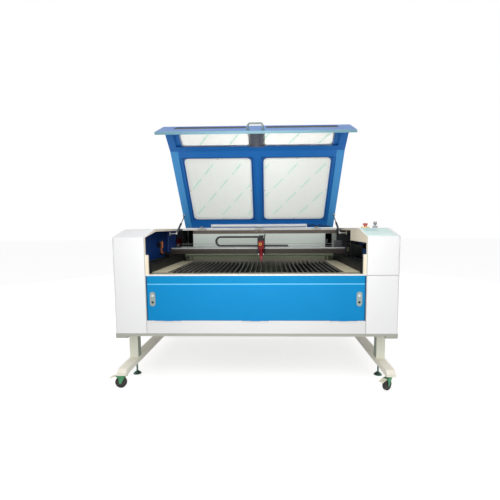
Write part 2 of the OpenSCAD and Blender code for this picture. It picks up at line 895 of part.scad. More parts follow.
module estop_button() {
    r = estop_neck_r - sheet - play;
    color("#c8241c") placed() translate([estop_x, estop_y, top_z + estop_base_h]) rotate_extrude()
        polygon([[0, -estop_neck_h / 2], [r, -estop_neck_h / 2], [r, estop_neck_h], [estop_cap_r,
            estop_neck_h],
            [estop_cap_r, estop_neck_h + estop_cap_h / 2], [estop_cap_r - estop_cap_h / 3, estop_neck_h
            + estop_cap_h], [0, estop_neck_h + estop_cap_h]]);
}

module laser_key() {
    z = top_z + ring_h;
    color("#8f9496") placed() translate([key_x, estop_y, 0]) {
        zcyl(barrel_key_r - sheet - fit, top_z + sheet, z - seam, 0, 0);
        box(-bow_t * 3 / 2, bow_t * 3 / 2, -bow_t / 2, bow_t / 2, z - seam - over, z + blade_key_h);
        difference() {
            box(-bow_w / 2, bow_w / 2, -bow_t / 2, bow_t / 2, z + blade_key_h, z + blade_key_h + bow_h);
            ycyl(bow_hole_r, -bow_t, bow_t, 0, z + blade_key_h + bow_h - bow_hole_r * 2);
        }
    }
}

// Table

blade_n = floor(2 * (rail_in - ledge_w) / blade_pitch);
blade_x0 = -(blade_n - 1) * blade_pitch / 2;
field_x = -blade_x0 + blade_pitch / 2;
table_y1 = rear_y - table_back;
blade_l = table_y1 - table_y0 - 2 * (rail_t + wall_gap);

module table_frame() {
    color("#e3dccb") placed() {
        both() {
            difference() {
                union() {
                    box(field_x + wall_gap, rail_in - wall_gap, table_y0, table_y1, table_z - ledge_h,
                        table_z);
                    box(rail_in - wall_gap, in_x - wall_gap, table_y0, table_y1, table_z - ledge_h,
                        rail_beam_z0 - wall_gap);
                }
                box(field_x + wall_gap + ledge_t, in_x - wall_gap - ledge_t, table_y0 + ledge_t,
                    table_y1 - ledge_t, table_z - ledge_h - over, rail_beam_z0 - wall_gap - ledge_t);
            }
            zcyl(corner_r, table_z, table_z - ledge_h + rear_rail_h, corner_x, table_y1 - rail_t / 2);
        }
        box(-field_x, field_x, table_y0, table_y0 + rail_t, table_z - ledge_h,
            table_z - ledge_h + front_rail_h);
        box(-field_x, field_x, table_y1 - rail_t, table_y1, table_z - ledge_h,
            table_z - ledge_h + rear_rail_h);
    }
}

module knife_blades() {
    z0 = table_z - blade_h;
    y0 = table_y0 + rail_t + wall_gap;
    color("#26282a") placed() for (i = [0:blade_n - 1]) translate([blade_x0 + i * blade_pitch, 0, 0])
        yprofile(y0, y0 + blade_l) polygon([[-blade_t / 2, z0], [blade_t / 2, z0],
            [blade_t / 2, table_z - blade_bevel], [blade_edge / 2, table_z], [-blade_edge / 2, table_z],
            [-blade_t / 2, table_z - blade_bevel]]);
}

module debris_tray() {
    color("#9aa0a2") placed() xprofile(-in_x + wall_gap, in_x - wall_gap)
        polygon([[tray_y0, tray_low], [tray_y0, tray_low + tray_t], [rear_y - wall_gap, tray_high + tray_t],
            [rear_y - wall_gap, tray_high]]);
}

// Y rails in the side cabinets

module y_rail() {
    difference() {
        box(rail_in, rail_x + rail_beam_w / 2, rail_y0, rail_y1, rail_beam_z0, rail_beam_z1);
        xcyl(shaft_r + fit, rail_in - over, half_w, shaft_y, shaft_z);
    }
    box(rail_x - rail_w / 2, rail_x + rail_w / 2, rail_y0, rail_y1, rail_beam_z1, rail_beam_z1 + rail_t2);
}

module y_rails() {
    tray_z = ychain_top - 2 * yloop_r - link_h - sheet;
    color("#5c6468") placed() {
        mirror([1, 0, 0]) y_rail();
        y_rail();
        box(rail_x + rail_beam_w / 2, ychain_x + link_w / 2, ytray_y, ychain_end, rail_beam_z0,
            rail_beam_z0 + sheet);
        box(ychain_x + link_w / 2, ychain_x + link_w / 2 + sheet, ytray_y, ychain_end, rail_beam_z0,
            tray_z + sheet);
        box(ychain_x - link_w / 2, ychain_x + link_w / 2 + sheet, ytray_y, ychain_end, tray_z,
            tray_z + sheet);
    }
}

// Drag chain: open links along two straight runs and a half turn
module link(w, l) {
    difference() {
        translate([-l / 2, -w / 2, -link_h / 2]) cube([l, w, link_h]);
        translate([-l / 2 - over, -w / 2 + link_wall, -link_h / 2 + link_wall])
            cube([l + 2 * over, w - 2 * link_wall, link_h - 2 * link_wall]);
    }
}
module chain_run(length, w) {
    n = floor(length / link_pitch);
    for (i = [0:n - 1]) translate([link_pitch * (i + 1 / 2), 0, 0]) link(w, link_pitch - link_gap);
}
module chain_turn(r, w) {
    n = floor(PI * r / link_pitch);
    l = min(link_pitch, 2 * (r - link_h / 2) * tan(90 / n)) - link_gap;
    for (i = [0:n - 1]) rotate([0, -180 * (i + 1 / 2) / n, 0]) translate([0, 0, r]) link(w, l);
}

module x_chain() {
    zc = xloop_top - link_h / 2 - xloop_r;
    y = gantry_y + beam_d / 2 + tray_strip / 2;
    color("#1c1d1f") placed() translate([xloop_x, y, zc]) {
        translate([0, 0, xloop_r]) chain_run(head_x - xloop_x, link_w);
        translate([0, 0, -xloop_r]) chain_run(xchain_end - xloop_x, link_w);
        chain_turn(xloop_r, link_w);
    }
}

module y_chain() {
    zc = ychain_top - link_h / 2 - yloop_r;
    color("#1c1d1f") placed() translate([ychain_x, yloop_y, zc]) rotate([0, 0, 90]) {
        translate([0, 0, yloop_r]) chain_run(gantry_y - yloop_y, link_w);
        translate([0, 0, -yloop_r]) chain_run(ychain_end - yloop_y, link_w);
        chain_turn(yloop_r, link_w);
    }
}

// Gantry

beam_x = rail_x - rail_beam_w / 2 - wall_gap;
beam_top = beam_z + beam_h;
tray_lip = xloop_top - link_h - 2 * xloop_r - beam_top - tray_gap;

module gantry_beam() {
    b = beam_slot / 2;
    m = beam_z + beam_h / 2;
    y0 = gantry_y;
    y1 = gantry_y + beam_d;
    color("#a6acae") placed() {
        difference() {
            xprofile(-beam_x, beam_x) polygon([[y0, beam_z], [y1, beam_z], [y1, m - b],
                [y1 - beam_slot_d, m - b],
                [y1 - beam_slot_d, m + b], [y1, m + b], [y1, beam_top], [y0, beam_top]]);
        }
        xprofile(-beam_x, beam_x) polygon([[y0, m - xrail_h / 2], [y0 - xrail_w, m - xrail_h / 2],
            [y0 - xrail_w, m + xrail_h / 2], [y0, m + xrail_h / 2]]);
        xprofile(tray_x0, tray_x1) polygon([[y1 - beam_d / 2, beam_top], [y1 - beam_d / 2,
            beam_top + tray_lip - sheet],
            [y1 - beam_d / 2, beam_top + tray_lip], [y1 - beam_d / 2 + tray_strip, beam_top + tray_lip],
            [y1 - beam_d / 2 + tray_strip, beam_top + tray_lip - sheet],
            [y1 - beam_d / 2 + sheet, beam_top + tray_lip - sheet], [y1 - beam_d / 2 + sheet, beam_top]]);
    }
}

module truck() {
    x0 = beam_x;
    x1 = rail_x + rail_beam_w / 2;
    y = gantry_y + beam_d / 2;
    z = rail_beam_z1 + truck_gap;
    box(x0 + wall_gap, x1, y - truck_l / 2, y + truck_l / 2, beam_z, beam_z + plate_t);
    box(x0, x0 + plate_t, y - beam_d / 2, y + beam_d / 2, beam_z, beam_top);
    for (s = [-1, 1]) box(s < 0 ? rail_x - rail_w / 2 - play - plate_t : rail_x + rail_w / 2 + play,
        s < 0 ? rail_x - rail_w / 2 - play : rail_x + rail_w / 2 + play + plate_t,
        y - truck_l / 2, y + truck_l / 2, z, beam_z);
}

module gantry_trucks() {
    y = gantry_y + beam_d / 2;
    color("#8b9194") placed() {
        mirror([1, 0, 0]) truck();
        truck();
        box(-mirror_x - post_w / 2, -beam_x - wall_gap, head_y0 - head_d / 2 - mirror_base / 2,
            y - truck_l / 2, beam_z, beam_z + plate_t);
        box(rail_x + rail_beam_w / 2 - plate_t, rail_x + rail_beam_w / 2, y - arm_w / 2, y + arm_w / 2,
            beam_z + plate_t, ychain_top);
        box(rail_x + rail_beam_w / 2 - plate_t, ychain_x + link_w / 2, y - arm_w / 2, y + arm_w / 2,
            ychain_top, ychain_top + arm_t);
    }
}

module stadium(l, r) {
    square([l, 2 * r]);
    for (x = [0, l]) translate([x, r]) circle(r);
}

module x_drive() {
    m = beam_top + belt_up;
    x1 = beam_x - motor_s;
    y0 = gantry_y;
    color("#303234") placed() {
        box(x1 - motor_s / 2, x1 + motor_s / 2, y0 + belt_w + sheet, y0 + belt_w + sheet + motor_l,
            beam_top,
            beam_top + motor_s);
        ycyl(pulley_r, y0, y0 + belt_w + sheet, x1, m);
        difference() {
            translate([-beam_x + motor_s, 0, m - pulley_r - belt_t]) yprofile(y0 + seat, y0 + belt_w)
                stadium(x1 + beam_x - motor_s, pulley_r + belt_t);
            translate([-beam_x + motor_s, 0, m - pulley_r]) yprofile(y0 - over, y0 + belt_w + over)
                stadium(x1 + beam_x - motor_s, pulley_r);
        }
        ycyl(pulley_r, y0, y0 + belt_w + sheet, -beam_x + motor_s, m);
        box(-beam_x + motor_s - pulley_r, -beam_x + motor_s + pulley_r, y0 + belt_w + sheet,
            y0 + belt_w + sheet + plate_t, beam_top, m + pulley_r);
    }
}

module mirror_mount(base_z0, turn) {
    h = mirror_plate;
    box(-post_w / 2, post_w / 2, -mirror_base / 2, mirror_base / 2, base_z0, base_z0 + mirror_t);
    box(-mirror_t / 2, mirror_t / 2, -post_w / 2, post_w / 2, base_z0 + mirror_t,
        laser_z - h / 2 + mirror_t);
    rotate([0, 0, turn]) {
        difference() {
            box(-h / 2, h / 2, 0, mirror_t, laser_z - h / 2, laser_z + h / 2);
            ycyl(mirror_r, -over, mirror_t + over, 0, laser_z);
        }
        box(-h / 2, h / 2, mirror_t * 2, mirror_t * 3, laser_z - h / 2, laser_z + h / 2);
        for (s = [-1, 1], t = [-1, 1]) if (s + t < 2)
            ycyl(spring_r, mirror_t, mirror_t * 4.5, s * spring_off, laser_z + t * spring_off);
    }
}

module gantry_mirror() {
    color("#d8782a") placed() translate([-mirror_x, head_y0 - head_d / 2, 0])
        mirror_mount(beam_z + plate_t, 135);
}

module y_drive_shaft() {
    color("#9aa0a2") placed() {
        xcyl(shaft_r, -shaft_x, shaft_x, shaft_y, shaft_z);
        both() {
            xcyl(drive_r, shaft_x - drive_w, shaft_x, shaft_y, shaft_z);
            xcyl(drive_r + belt_t, shaft_x - belt_t, shaft_x, shaft_y, shaft_z);
            xcyl(drive_r + belt_t, shaft_x - drive_w, shaft_x - drive_w + belt_t, shaft_y, shaft_z);
        }
    }
}

// Laser head

module head_carriage() {
    m = beam_z + beam_h / 2;
    y1 = head_y0 + carriage_t;
    chain_z = xloop_top - link_h;
    yc = gantry_y + beam_d / 2;
    color("#54595c") placed() translate([head_x, 0, 0]) {
        box(-carriage_w / 2, carriage_w / 2, head_y0, y1, beam_z - plate_t, xloop_top - link_h);
        difference() {
            box(-carriage_w / 2, carriage_w / 2, y1, y1 + carriage_block + xrail_w - over, m - xrail_h,
                m + xrail_h);
            box(-carriage_w, carriage_w, y1 + carriage_block, gantry_y, m - xrail_h / 2 - play,
                m + xrail_h / 2 + play);
        }
        box(-carriage_w / 2, carriage_w / 2, head_y0, yc + tray_strip / 2 + link_w / 2,
            chain_z - arm_t, chain_z);
    }
}

module laser_head() {
    y = head_y0 - head_d / 2;
    z1 = laser_z + mirror_box_h / 2;
    z0 = laser_z - mirror_box_h / 2;
    color("#b3222c") placed() translate([head_x, y, 0]) {
        box(-head_w / 2, head_w / 2, -head_d / 2, head_d / 2, z0, z1);
        box(-head_top_w / 2, head_top_w / 2, -head_d / 2, head_d / 2, z1, xloop_top + link_h / 2);
        difference() {
            zcyl(barrel_r, z0 - barrel_h, z0, 0, 0);
            zcyl(lens_r + fit, z0 - barrel_h - over, z0 - over, 0, 0);
        }
        ycyl(cap_r, -head_d / 2 - cap_t, -head_d / 2, -cap_off, laser_z);
        for (s = [-1, 1]) xcyl(thumb_r, s > 0 ? barrel_r - over : -barrel_r - thumb_l,
            s > 0 ? barrel_r + thumb_l : -barrel_r + over, 0, z0 - barrel_h + collar_h);
        difference() {
            union() {
                zcyl(elbow_r, z0 - elbow_drop, z0 - elbow_drop + elbow_h, hose_x, 0);
                xcyl(hose_r, barrel_r - over, hose_x, 0, z0 - elbow_drop + elbow_r);
            }
            zcyl(hose_r + fit, z0 - elbow_drop + elbow_h / 2, z0 - elbow_drop + elbow_h + over, hose_x, 0);
        }
    }
}

module lens_tube() {
    y = head_y0 - head_d / 2;
    z0 = laser_z - mirror_box_h / 2;
    top = z0 - over * 2;
    z1 = nozzle_tip + nozzle_h;
    color("#b3222c") placed() translate([head_x, y, 0]) rotate_extrude() polygon([
        [lens_r - sheet, top - lens_h / 2], [lens_r, top - lens_h / 2 - over], [lens_r,
            z0 - barrel_h - collar_h],
        [collar_r, z0 - barrel_h - collar_h], [collar_r, z1 + over], [lens_r, z1],
        [nozzle_r, nozzle_tip], [nozzle_r / 2, nozzle_tip], [nozzle_r / 2, z1], [lens_r - sheet,
            z1 + collar_h]]);
}

// The air hose leaves the chain's end, arches over the head's top and runs down its right side
function bend(a, b, c, d, t) = mix(mix(mix(a, b, t), mix(b, c, t), t), mix(mix(b, c, t), mix(c, d, t),
    t), t);
hose_route = let(x = hose_x, z = laser_z + mirror_box_h / 2,
    back = gantry_y + beam_d / 2 + tray_strip / 2 - head_y0 + head_d / 2,
    a = [-hose_from, back, xloop_top - link_h / 2], d = [x, 0, z - hose_fall])
    concat([for (i = [0:hose_n - 1]) bend(a, a + [hose_swing + hose_from, 0, 0], d + [0, 0, hose_lift],
        d, i / hose_n)],
        [d, [x, 0, z - mirror_box_h - elbow_drop + elbow_h / 2 + seat]]);
module air_hose() {
    color("#1c1d1f") placed() translate([head_x, head_y0 - head_d / 2, 0]) cord(hose_route, hose_r);
}

// Laser tube behind the rear wall

module laser_tube() {
    color("#d9dfe2") placed() {
        xcyl(glass_r, glass_x0, glass_x1, tube_y, laser_z);
        xcyl(tube_cap_r, glass_x0 - tube_cap_l, glass_x0, tube_y, laser_z);
        xcyl(tube_cap_r, glass_x1, glass_x1 + tube_cap_l, tube_y, laser_z);
    }
}

module tube_mounts() {
    color("#c23a2e") placed() {
        for (s = [-1, 1]) difference() {
            box(s * cradle_x - cradle_w / 2, s * cradle_x + cradle_w / 2, tube_y - cradle_t,
                tube_y + cradle_t,
                base_z + base_plate, laser_z);
            xcyl(glass_r + seat, s * cradle_x - cradle_w, s * cradle_x + cradle_w, tube_y, laser_z);
        }
        translate([-mirror_x, tube_y, 0]) mirror_mount(base_z + base_plate, 45);
    }
}

// Lid, drawn closed about the hinge axis and turned open

lid_line = let(p1 = [-lid_main, 0],
    p2 = p1 + lid_slope * [-cos(lid_slope_a), -sin(lid_slope_a)],
    p3 = p2 + lid_front * [-cos(lid_front_a), -sin(lid_front_a)])
    [[-lid_start, 0], p1, p2, p3];

module on_lid() {
    placed() translate([0, hinge_y, hinge_z]) rotate([-lid_open, 0, 0]) children();
}
// Child frames: x across, y from the bend towards the front, z outwards
module on_main(s) { translate([0, -s, 0]) rotate([0, 0, 180]) children(); }
module on_slope(s) {
    translate([0, lid_line[1][0], lid_line[1][1]]) rotate([lid_slope_a, 0, 0]) on_main(s) children();
}
module on_front(s) {
    translate([0, lid_line[2][0], lid_line[2][1]]) rotate([lid_front_a, 0, 0]) on_main(s) children();
}

module window_cuts(grow, z0, z1) {
    for (s = [-1, 1]) {
        on_main(win_from + win_h / 2) translate([s * (win_in + win_w / 2), 0, z0]) linear_extrude(z1 - z0)
            rounded(win_w + 2 * grow, win_h + 2 * grow, win_r + grow);
        on_slope(slope_win_from + slope_win_h / 2) translate([s * (win_in + win_w / 2), 0, z0])
            linear_extrude(z1 - z0) rounded(win_w + 2 * grow, slope_win_h + 2 * grow, slope_win_r + grow);
        on_front(front_win_from + front_win_h / 2) translate([s * (front_win_in + win_w / 2), 0, z0])
            linear_extrude(z1 - z0) rounded(win_w + 2 * grow, front_win_h + 2 * grow, front_win_r + grow);
    }
}

cross_line = [[-lid_main + cross_back, 0], lid_line[1],
    lid_line[1] + cross_fore * unit(lid_line[2] - lid_line[1])];
mullion_line = [lid_line[0], lid_line[1],
    lid_line[1] + (lid_slope - lid_depth) * unit(lid_line[2] - lid_line[1])];
function near_edge(w) = [lid_line[3] - w * unit(lid_line[3] - lid_line[2]), lid_line[3]];

module lid_shell() {
    hw = lid_w / 2;
    color("#1c6fbf") on_lid() {
        difference() {
            xprofile(-hw, hw) polygon(band(lid_line, lid_depth - sheet, lid_depth));
            window_cuts(0, lid_depth - sheet - over, lid_depth + over);
        }
        both() {
            xprofile(hw - sheet, hw) polygon(band(lid_line, 0, lid_depth));
            xprofile(hw - lip_w, hw) polygon(band(lid_line, 0, sheet));
        }
        box(-hw, hw, -lid_start - sheet, -lid_start, 0, lid_depth);
        box(-hw, hw, -lid_start - lip_w, -lid_start, 0, sheet);
        xprofile(-hw + fit, hw - fit) polygon(band(cross_line, fit, sheet - fit));
        xprofile(-mullion / 2, mullion / 2) polygon(band(mullion_line, 2 * fit, sheet - 2 * fit));
        xprofile(-hw, hw) polygon(band(near_edge(sheet), 0, lid_depth));
        xprofile(-hw, hw) polygon(band(near_edge(rail_lip), 0, sheet));
    }
}

module lid_panes() {
    color("#d9d4c4") on_lid() window_cuts(pane_lap, lid_depth - sheet - pane_t, lid_depth - sheet - fit);
}

module lid_handle() {
    r = handle_bend;
    s = lid_front - handle_up;
    color("#5b645e") on_lid() on_front(s) translate([0, 0, lid_depth]) {
        for (k = [-1, 1]) {
            zcyl(handle_foot_r, 0, handle_foot_t, k * handle_x, 0);
            zcyl(handle_r, 0, handle_reach - r, k * handle_x, 0);
            translate([k * (handle_x - r), 0, handle_reach - r]) rotate([90, 0, 0])
                rotate([0, 0, k > 0 ? 0 : 90]) rotate_extrude(angle = 90) translate([r,
                    0]) circle(handle_r);
        }
        xcyl(handle_r, -handle_x + r, handle_x - r, 0, handle_reach);
    }
}

module lamp_bar() {
    l = lamp_l / 2;
    color("#cdd2d4") on_lid() {
        xprofile(-l + lamp_cap, l - lamp_cap) polygon([[-lamp_from, 0], [-lamp_from - lamp_d, 0],
            [-lamp_from - lamp_d, -lamp_h / 2], [-lamp_from - lamp_d * 3 / 4, -lamp_h],
            [-lamp_from - lamp_d / 4, -lamp_h], [-lamp_from, -lamp_h / 2]]);
        for (s = [-1, 1]) box(s < 0 ? -l : l - lamp_cap, s < 0 ? -l + lamp_cap : l, -lamp_from - lamp_d,
            -lamp_from, -lamp_h - over, 0);
    }
}

// The lead's route in the closed lid's frame: a flattened wave along the rear lip, then back to the hinge
lead_route = [for (i = [0:lead_n]) let(t = i / lead_n) [mix(lamp_l / 2 + seat, lead_to, t),
    -lamp_from - lamp_d / 2 + lead_wave * sin(360 * lead_turns * t) * sin(180 * t)
    + t * t * (lamp_d / 2 + lead_r), -lead_r - seat]];
module lamp_lead() {
    color("#16202c") on_lid() cord(lead_route, lead_r);
}

function lid_hinges() = [for (s = hinge_xs_shares) s * lid_w / 2];

// Lid half of the hinges and the stud plates of the struts
module lid_brackets() {
    hw = lid_w / 2;
    x1 = hw - sheet;
    color("#b9bec0") on_lid() {
        for (x = lid_hinges()) {
            xcyl(pin_r, x - knuckle_l * 1.5 + play, x + knuckle_l * 1.5 - play, 0, 0);
            xcyl(knuckle_r, x - knuckle_l / 2, x + knuckle_l / 2, 0, 0);
            box(x - knuckle_l / 2, x + knuckle_l / 2, -lid_start - lid_leaf, 0, -leaf_t, 0);
        }
        both() {
            box(x1 - bracket_t - over, x1 - over, -strut_from - bracket_w / 2, -strut_from + bracket_w / 2,
                -strut_in - eye_r, 0);
            xcyl(eye_pin_r, strut_x + eye_w / 2 + stud_gap, x1 - bracket_t - over, -strut_from, -strut_in);
        }
    }
}

// Fixed half of the hinges and the lower strut brackets
module fixed_brackets() {
    color("#b9bec0") placed() {
        translate([0, hinge_y, hinge_z]) difference() {
            union() for (x = lid_hinges(), s = [-1, 1]) {
                x0 = x + s * knuckle_l - knuckle_l / 2 + play;
                x1 = x + s * knuckle_l + knuckle_l / 2 - play;
                xcyl(knuckle_r, x0, x1, 0, 0);
                box(x0, x1, 0, rear_y - hinge_y, -knuckle_r, -knuckle_r + leaf_t);
                box(x0, x1, rear_y - hinge_y - leaf_t, rear_y - hinge_y, -leaf_l, -knuckle_r + leaf_t);
            }
            for (x = lid_hinges()) xcyl(pin_r + fit, x - 2 * knuckle_l, x + 2 * knuckle_l, 0, 0);
        }
        both() {
            xcyl(eye_pin_r, strut_x - eye_w / 2 - bracket_t, in_x, strut_low_y, strut_low_z);
            box(in_x - bracket_t, in_x, strut_low_y - bracket_w / 2, strut_low_y + bracket_w / 2,
                strut_low_z - bracket_h / 2, strut_low_z + bracket_h / 2);
        }
    }
}

// Gas struts, drawn along +Y from the lower eye and turned to the upper stud

strut_top = [hinge_y - strut_from * cos(lid_open) - strut_in * sin(lid_open),
    hinge_z + strut_from * sin(lid_open) - strut_in * cos(lid_open)];
strut_vec = strut_top - [strut_low_y, strut_low_z];
strut_len = norm(strut_vec);
strut_a = atan2(strut_vec[1], strut_vec[0]);
strut_shut = norm([hinge_y - strut_from - strut_low_y, hinge_z - strut_in - strut_low_z]);
strut_stroke = strut_len - strut_shut;

module on_strut(sx) {
    placed() translate([sx * strut_x, strut_low_y, strut_low_z]) rotate([strut_a, 0, 0]) children();
}

module strut_cylinder(sx) {
    y0 = eye_r - over;
    color("#1b1c1e") on_strut(sx) difference() {
        union() {
            xcyl(eye_r, -eye_w / 2, eye_w / 2, 0, 0);
            ycyl(eye_pin_r, y0 - over, eye_r * 2, 0, 0);
            ycyl(strut_r, eye_r * 2, strut_body, 0, 0);
        }
        xcyl(eye_pin_r + fit, -eye_w, eye_w, 0, 0);
        ycyl(rod_r + fit, strut_body - rod_keep - strut_stroke - over, strut_body + over, 0, 0);
    }
}

module strut_rod(sx) {
    color("#c9cdcf") on_strut(sx) difference() {
        union() {
            ycyl(rod_r, strut_body - rod_keep, strut_len - eye_r + over, 0, 0);
            xcyl(eye_r, -eye_w / 2, eye_w / 2, strut_len, 0);
        }
        xcyl(eye_pin_r + fit, -eye_w, eye_w, strut_len, 0);
    }
}
module left_strut_cylinder() { strut_cylinder(-1); }
module left_strut_rod() { strut_rod(-1); }
module right_strut_cylinder() { strut_cylinder(1); }
module right_strut_rod() { strut_rod(1); }

base_frame();
stand_posts();
foot_runners();
left_cabinet();
right_cabinet();
right_lower_cover();
inner_walls();
rear_wall();
rear_cover();
front_panels();
table_frame();
knife_blades();
debris_tray();
y_rails();
control_panel();
switch_bodies();
y_chain();
fixed_brackets();
laser_tube();
tube_mounts();
lid_shell();
lid_panes();
lid_handle();
lamp_bar();
lamp_lead();
lid_brackets();
left_strut_cylinder();
left_strut_rod();
right_strut_cylinder();
right_strut_rod();
gantry_beam();
gantry_trucks();
x_drive();
gantry_mirror();
x_chain();
y_drive_shaft();
head_carriage();
laser_head();
air_hose();
lens_tube();
front_door();
door_locks();
left_lock_button();
right_lock_button();
estop_button();
laser_key();
caster_fork_fl();
caster_fork_fr();
caster_fork_rl();
caster_fork_rr();
caster_wheel_fl();
caster_wheel_fr();
caster_wheel_rl();
caster_wheel_rr();
brake_pedal_fl();
brake_pedal_fr();
level_foot_fl();
level_foot_fr();
level_foot_rl();
level_foot_rr();
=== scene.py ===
"""Looks of an enclosed gantry laser cutter with its lid open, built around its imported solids."""

from __future__ import annotations

import json
import logging
import math
from dataclasses import dataclass, field
from enum import Enum
from typing import Any, Sequence

import bmesh
import bpy
from mathutils import Matrix, Vector
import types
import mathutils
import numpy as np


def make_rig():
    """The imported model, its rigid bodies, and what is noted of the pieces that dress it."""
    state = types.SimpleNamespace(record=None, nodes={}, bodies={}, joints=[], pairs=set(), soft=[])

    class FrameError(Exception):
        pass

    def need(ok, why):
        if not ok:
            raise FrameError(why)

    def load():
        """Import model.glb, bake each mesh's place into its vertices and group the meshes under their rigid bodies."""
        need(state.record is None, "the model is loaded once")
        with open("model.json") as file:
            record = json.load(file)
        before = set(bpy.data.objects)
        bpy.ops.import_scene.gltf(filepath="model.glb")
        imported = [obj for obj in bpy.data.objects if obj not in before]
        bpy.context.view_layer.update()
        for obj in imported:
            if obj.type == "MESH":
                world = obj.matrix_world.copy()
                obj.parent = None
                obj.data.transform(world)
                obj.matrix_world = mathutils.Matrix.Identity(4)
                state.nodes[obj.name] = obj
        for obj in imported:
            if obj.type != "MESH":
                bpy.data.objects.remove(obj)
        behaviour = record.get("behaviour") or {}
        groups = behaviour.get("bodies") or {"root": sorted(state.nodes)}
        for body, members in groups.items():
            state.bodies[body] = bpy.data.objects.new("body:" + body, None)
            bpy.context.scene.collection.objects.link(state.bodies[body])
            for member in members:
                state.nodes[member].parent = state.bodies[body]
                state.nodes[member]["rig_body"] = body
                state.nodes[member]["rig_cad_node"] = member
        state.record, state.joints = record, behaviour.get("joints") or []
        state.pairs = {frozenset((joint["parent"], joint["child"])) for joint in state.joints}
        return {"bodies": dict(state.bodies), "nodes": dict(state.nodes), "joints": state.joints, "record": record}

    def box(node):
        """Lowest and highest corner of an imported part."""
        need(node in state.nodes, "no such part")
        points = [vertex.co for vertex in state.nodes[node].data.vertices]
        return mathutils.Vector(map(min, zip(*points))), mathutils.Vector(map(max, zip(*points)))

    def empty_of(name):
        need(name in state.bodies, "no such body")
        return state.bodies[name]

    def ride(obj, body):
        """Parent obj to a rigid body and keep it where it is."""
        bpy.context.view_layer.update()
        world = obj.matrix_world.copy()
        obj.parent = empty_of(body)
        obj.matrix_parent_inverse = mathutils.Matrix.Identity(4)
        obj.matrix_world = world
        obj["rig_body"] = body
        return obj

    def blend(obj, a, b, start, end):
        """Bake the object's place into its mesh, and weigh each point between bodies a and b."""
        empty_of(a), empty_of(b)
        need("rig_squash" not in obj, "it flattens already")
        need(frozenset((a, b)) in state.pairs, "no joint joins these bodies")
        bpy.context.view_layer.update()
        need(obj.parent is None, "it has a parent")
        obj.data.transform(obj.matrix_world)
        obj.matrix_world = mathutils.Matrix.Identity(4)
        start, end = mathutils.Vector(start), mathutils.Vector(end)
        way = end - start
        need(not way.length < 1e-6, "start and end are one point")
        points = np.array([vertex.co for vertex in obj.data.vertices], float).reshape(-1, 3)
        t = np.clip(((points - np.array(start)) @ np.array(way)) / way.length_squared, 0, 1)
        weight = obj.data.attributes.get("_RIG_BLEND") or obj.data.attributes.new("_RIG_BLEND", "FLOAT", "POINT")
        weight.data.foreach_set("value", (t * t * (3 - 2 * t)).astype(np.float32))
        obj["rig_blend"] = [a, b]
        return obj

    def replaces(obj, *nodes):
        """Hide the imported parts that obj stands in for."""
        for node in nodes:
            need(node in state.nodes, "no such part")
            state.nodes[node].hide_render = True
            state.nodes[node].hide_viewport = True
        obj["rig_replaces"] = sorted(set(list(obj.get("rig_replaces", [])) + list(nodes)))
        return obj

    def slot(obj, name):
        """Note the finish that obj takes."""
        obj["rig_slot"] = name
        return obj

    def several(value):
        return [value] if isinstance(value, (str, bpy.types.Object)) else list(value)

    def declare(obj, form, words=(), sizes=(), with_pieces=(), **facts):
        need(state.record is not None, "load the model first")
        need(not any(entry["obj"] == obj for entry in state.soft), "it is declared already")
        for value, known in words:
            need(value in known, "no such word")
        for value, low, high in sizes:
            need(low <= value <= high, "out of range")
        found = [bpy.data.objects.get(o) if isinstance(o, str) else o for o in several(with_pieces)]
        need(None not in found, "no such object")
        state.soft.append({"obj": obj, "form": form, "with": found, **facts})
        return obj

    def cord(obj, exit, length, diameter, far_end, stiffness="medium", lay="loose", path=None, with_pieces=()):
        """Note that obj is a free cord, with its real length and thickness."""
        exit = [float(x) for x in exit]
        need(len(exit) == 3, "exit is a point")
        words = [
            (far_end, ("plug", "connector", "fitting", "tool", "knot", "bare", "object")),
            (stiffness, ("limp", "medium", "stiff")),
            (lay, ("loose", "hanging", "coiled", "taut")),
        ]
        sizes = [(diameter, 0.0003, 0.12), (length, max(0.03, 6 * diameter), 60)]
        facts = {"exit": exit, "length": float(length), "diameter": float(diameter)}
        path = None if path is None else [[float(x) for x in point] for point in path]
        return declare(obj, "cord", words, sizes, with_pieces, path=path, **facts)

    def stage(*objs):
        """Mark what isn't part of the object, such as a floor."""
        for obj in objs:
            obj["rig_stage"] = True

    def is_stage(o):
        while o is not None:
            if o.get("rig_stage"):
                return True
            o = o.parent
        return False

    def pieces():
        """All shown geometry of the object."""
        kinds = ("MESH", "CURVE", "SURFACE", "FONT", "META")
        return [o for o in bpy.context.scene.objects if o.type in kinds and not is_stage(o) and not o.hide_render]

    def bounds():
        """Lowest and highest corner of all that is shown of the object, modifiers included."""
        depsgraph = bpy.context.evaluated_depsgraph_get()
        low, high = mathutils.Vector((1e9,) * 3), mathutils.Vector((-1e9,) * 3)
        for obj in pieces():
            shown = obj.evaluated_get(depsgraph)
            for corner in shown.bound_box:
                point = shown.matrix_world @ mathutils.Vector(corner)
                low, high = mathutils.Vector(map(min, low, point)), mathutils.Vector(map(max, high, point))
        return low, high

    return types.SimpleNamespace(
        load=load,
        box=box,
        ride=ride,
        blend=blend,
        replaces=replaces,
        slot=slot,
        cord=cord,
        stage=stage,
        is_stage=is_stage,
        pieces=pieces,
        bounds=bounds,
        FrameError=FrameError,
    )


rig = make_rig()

LOG = logging.getLogger("laser_cutter")
SIZE_FILE = "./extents.json"
MM = 0.001
PHOTO_PX = 500.0
WHITE = "#FFFFFF"
ACROSS = Vector((1.0, 0.0, 0.0))
BACK = Vector((0.0, 1.0, 0.0))
UP = Vector((0.0, 0.0, 1.0))

# how far a face's normal has to lie along an axis to count as facing that way
FACING = 0.5
# the same for the normal's X times the metres from the middle plane, for faces that look towards that plane
INWARD = 0.3

# octaves of a finish's fine grain and of its broad patches
GRAIN_DETAIL = 2.0
MOTTLE_DETAIL = 3.0
# where most values of a noise lie
NOISE_RANGE = (0.25, 0.75)
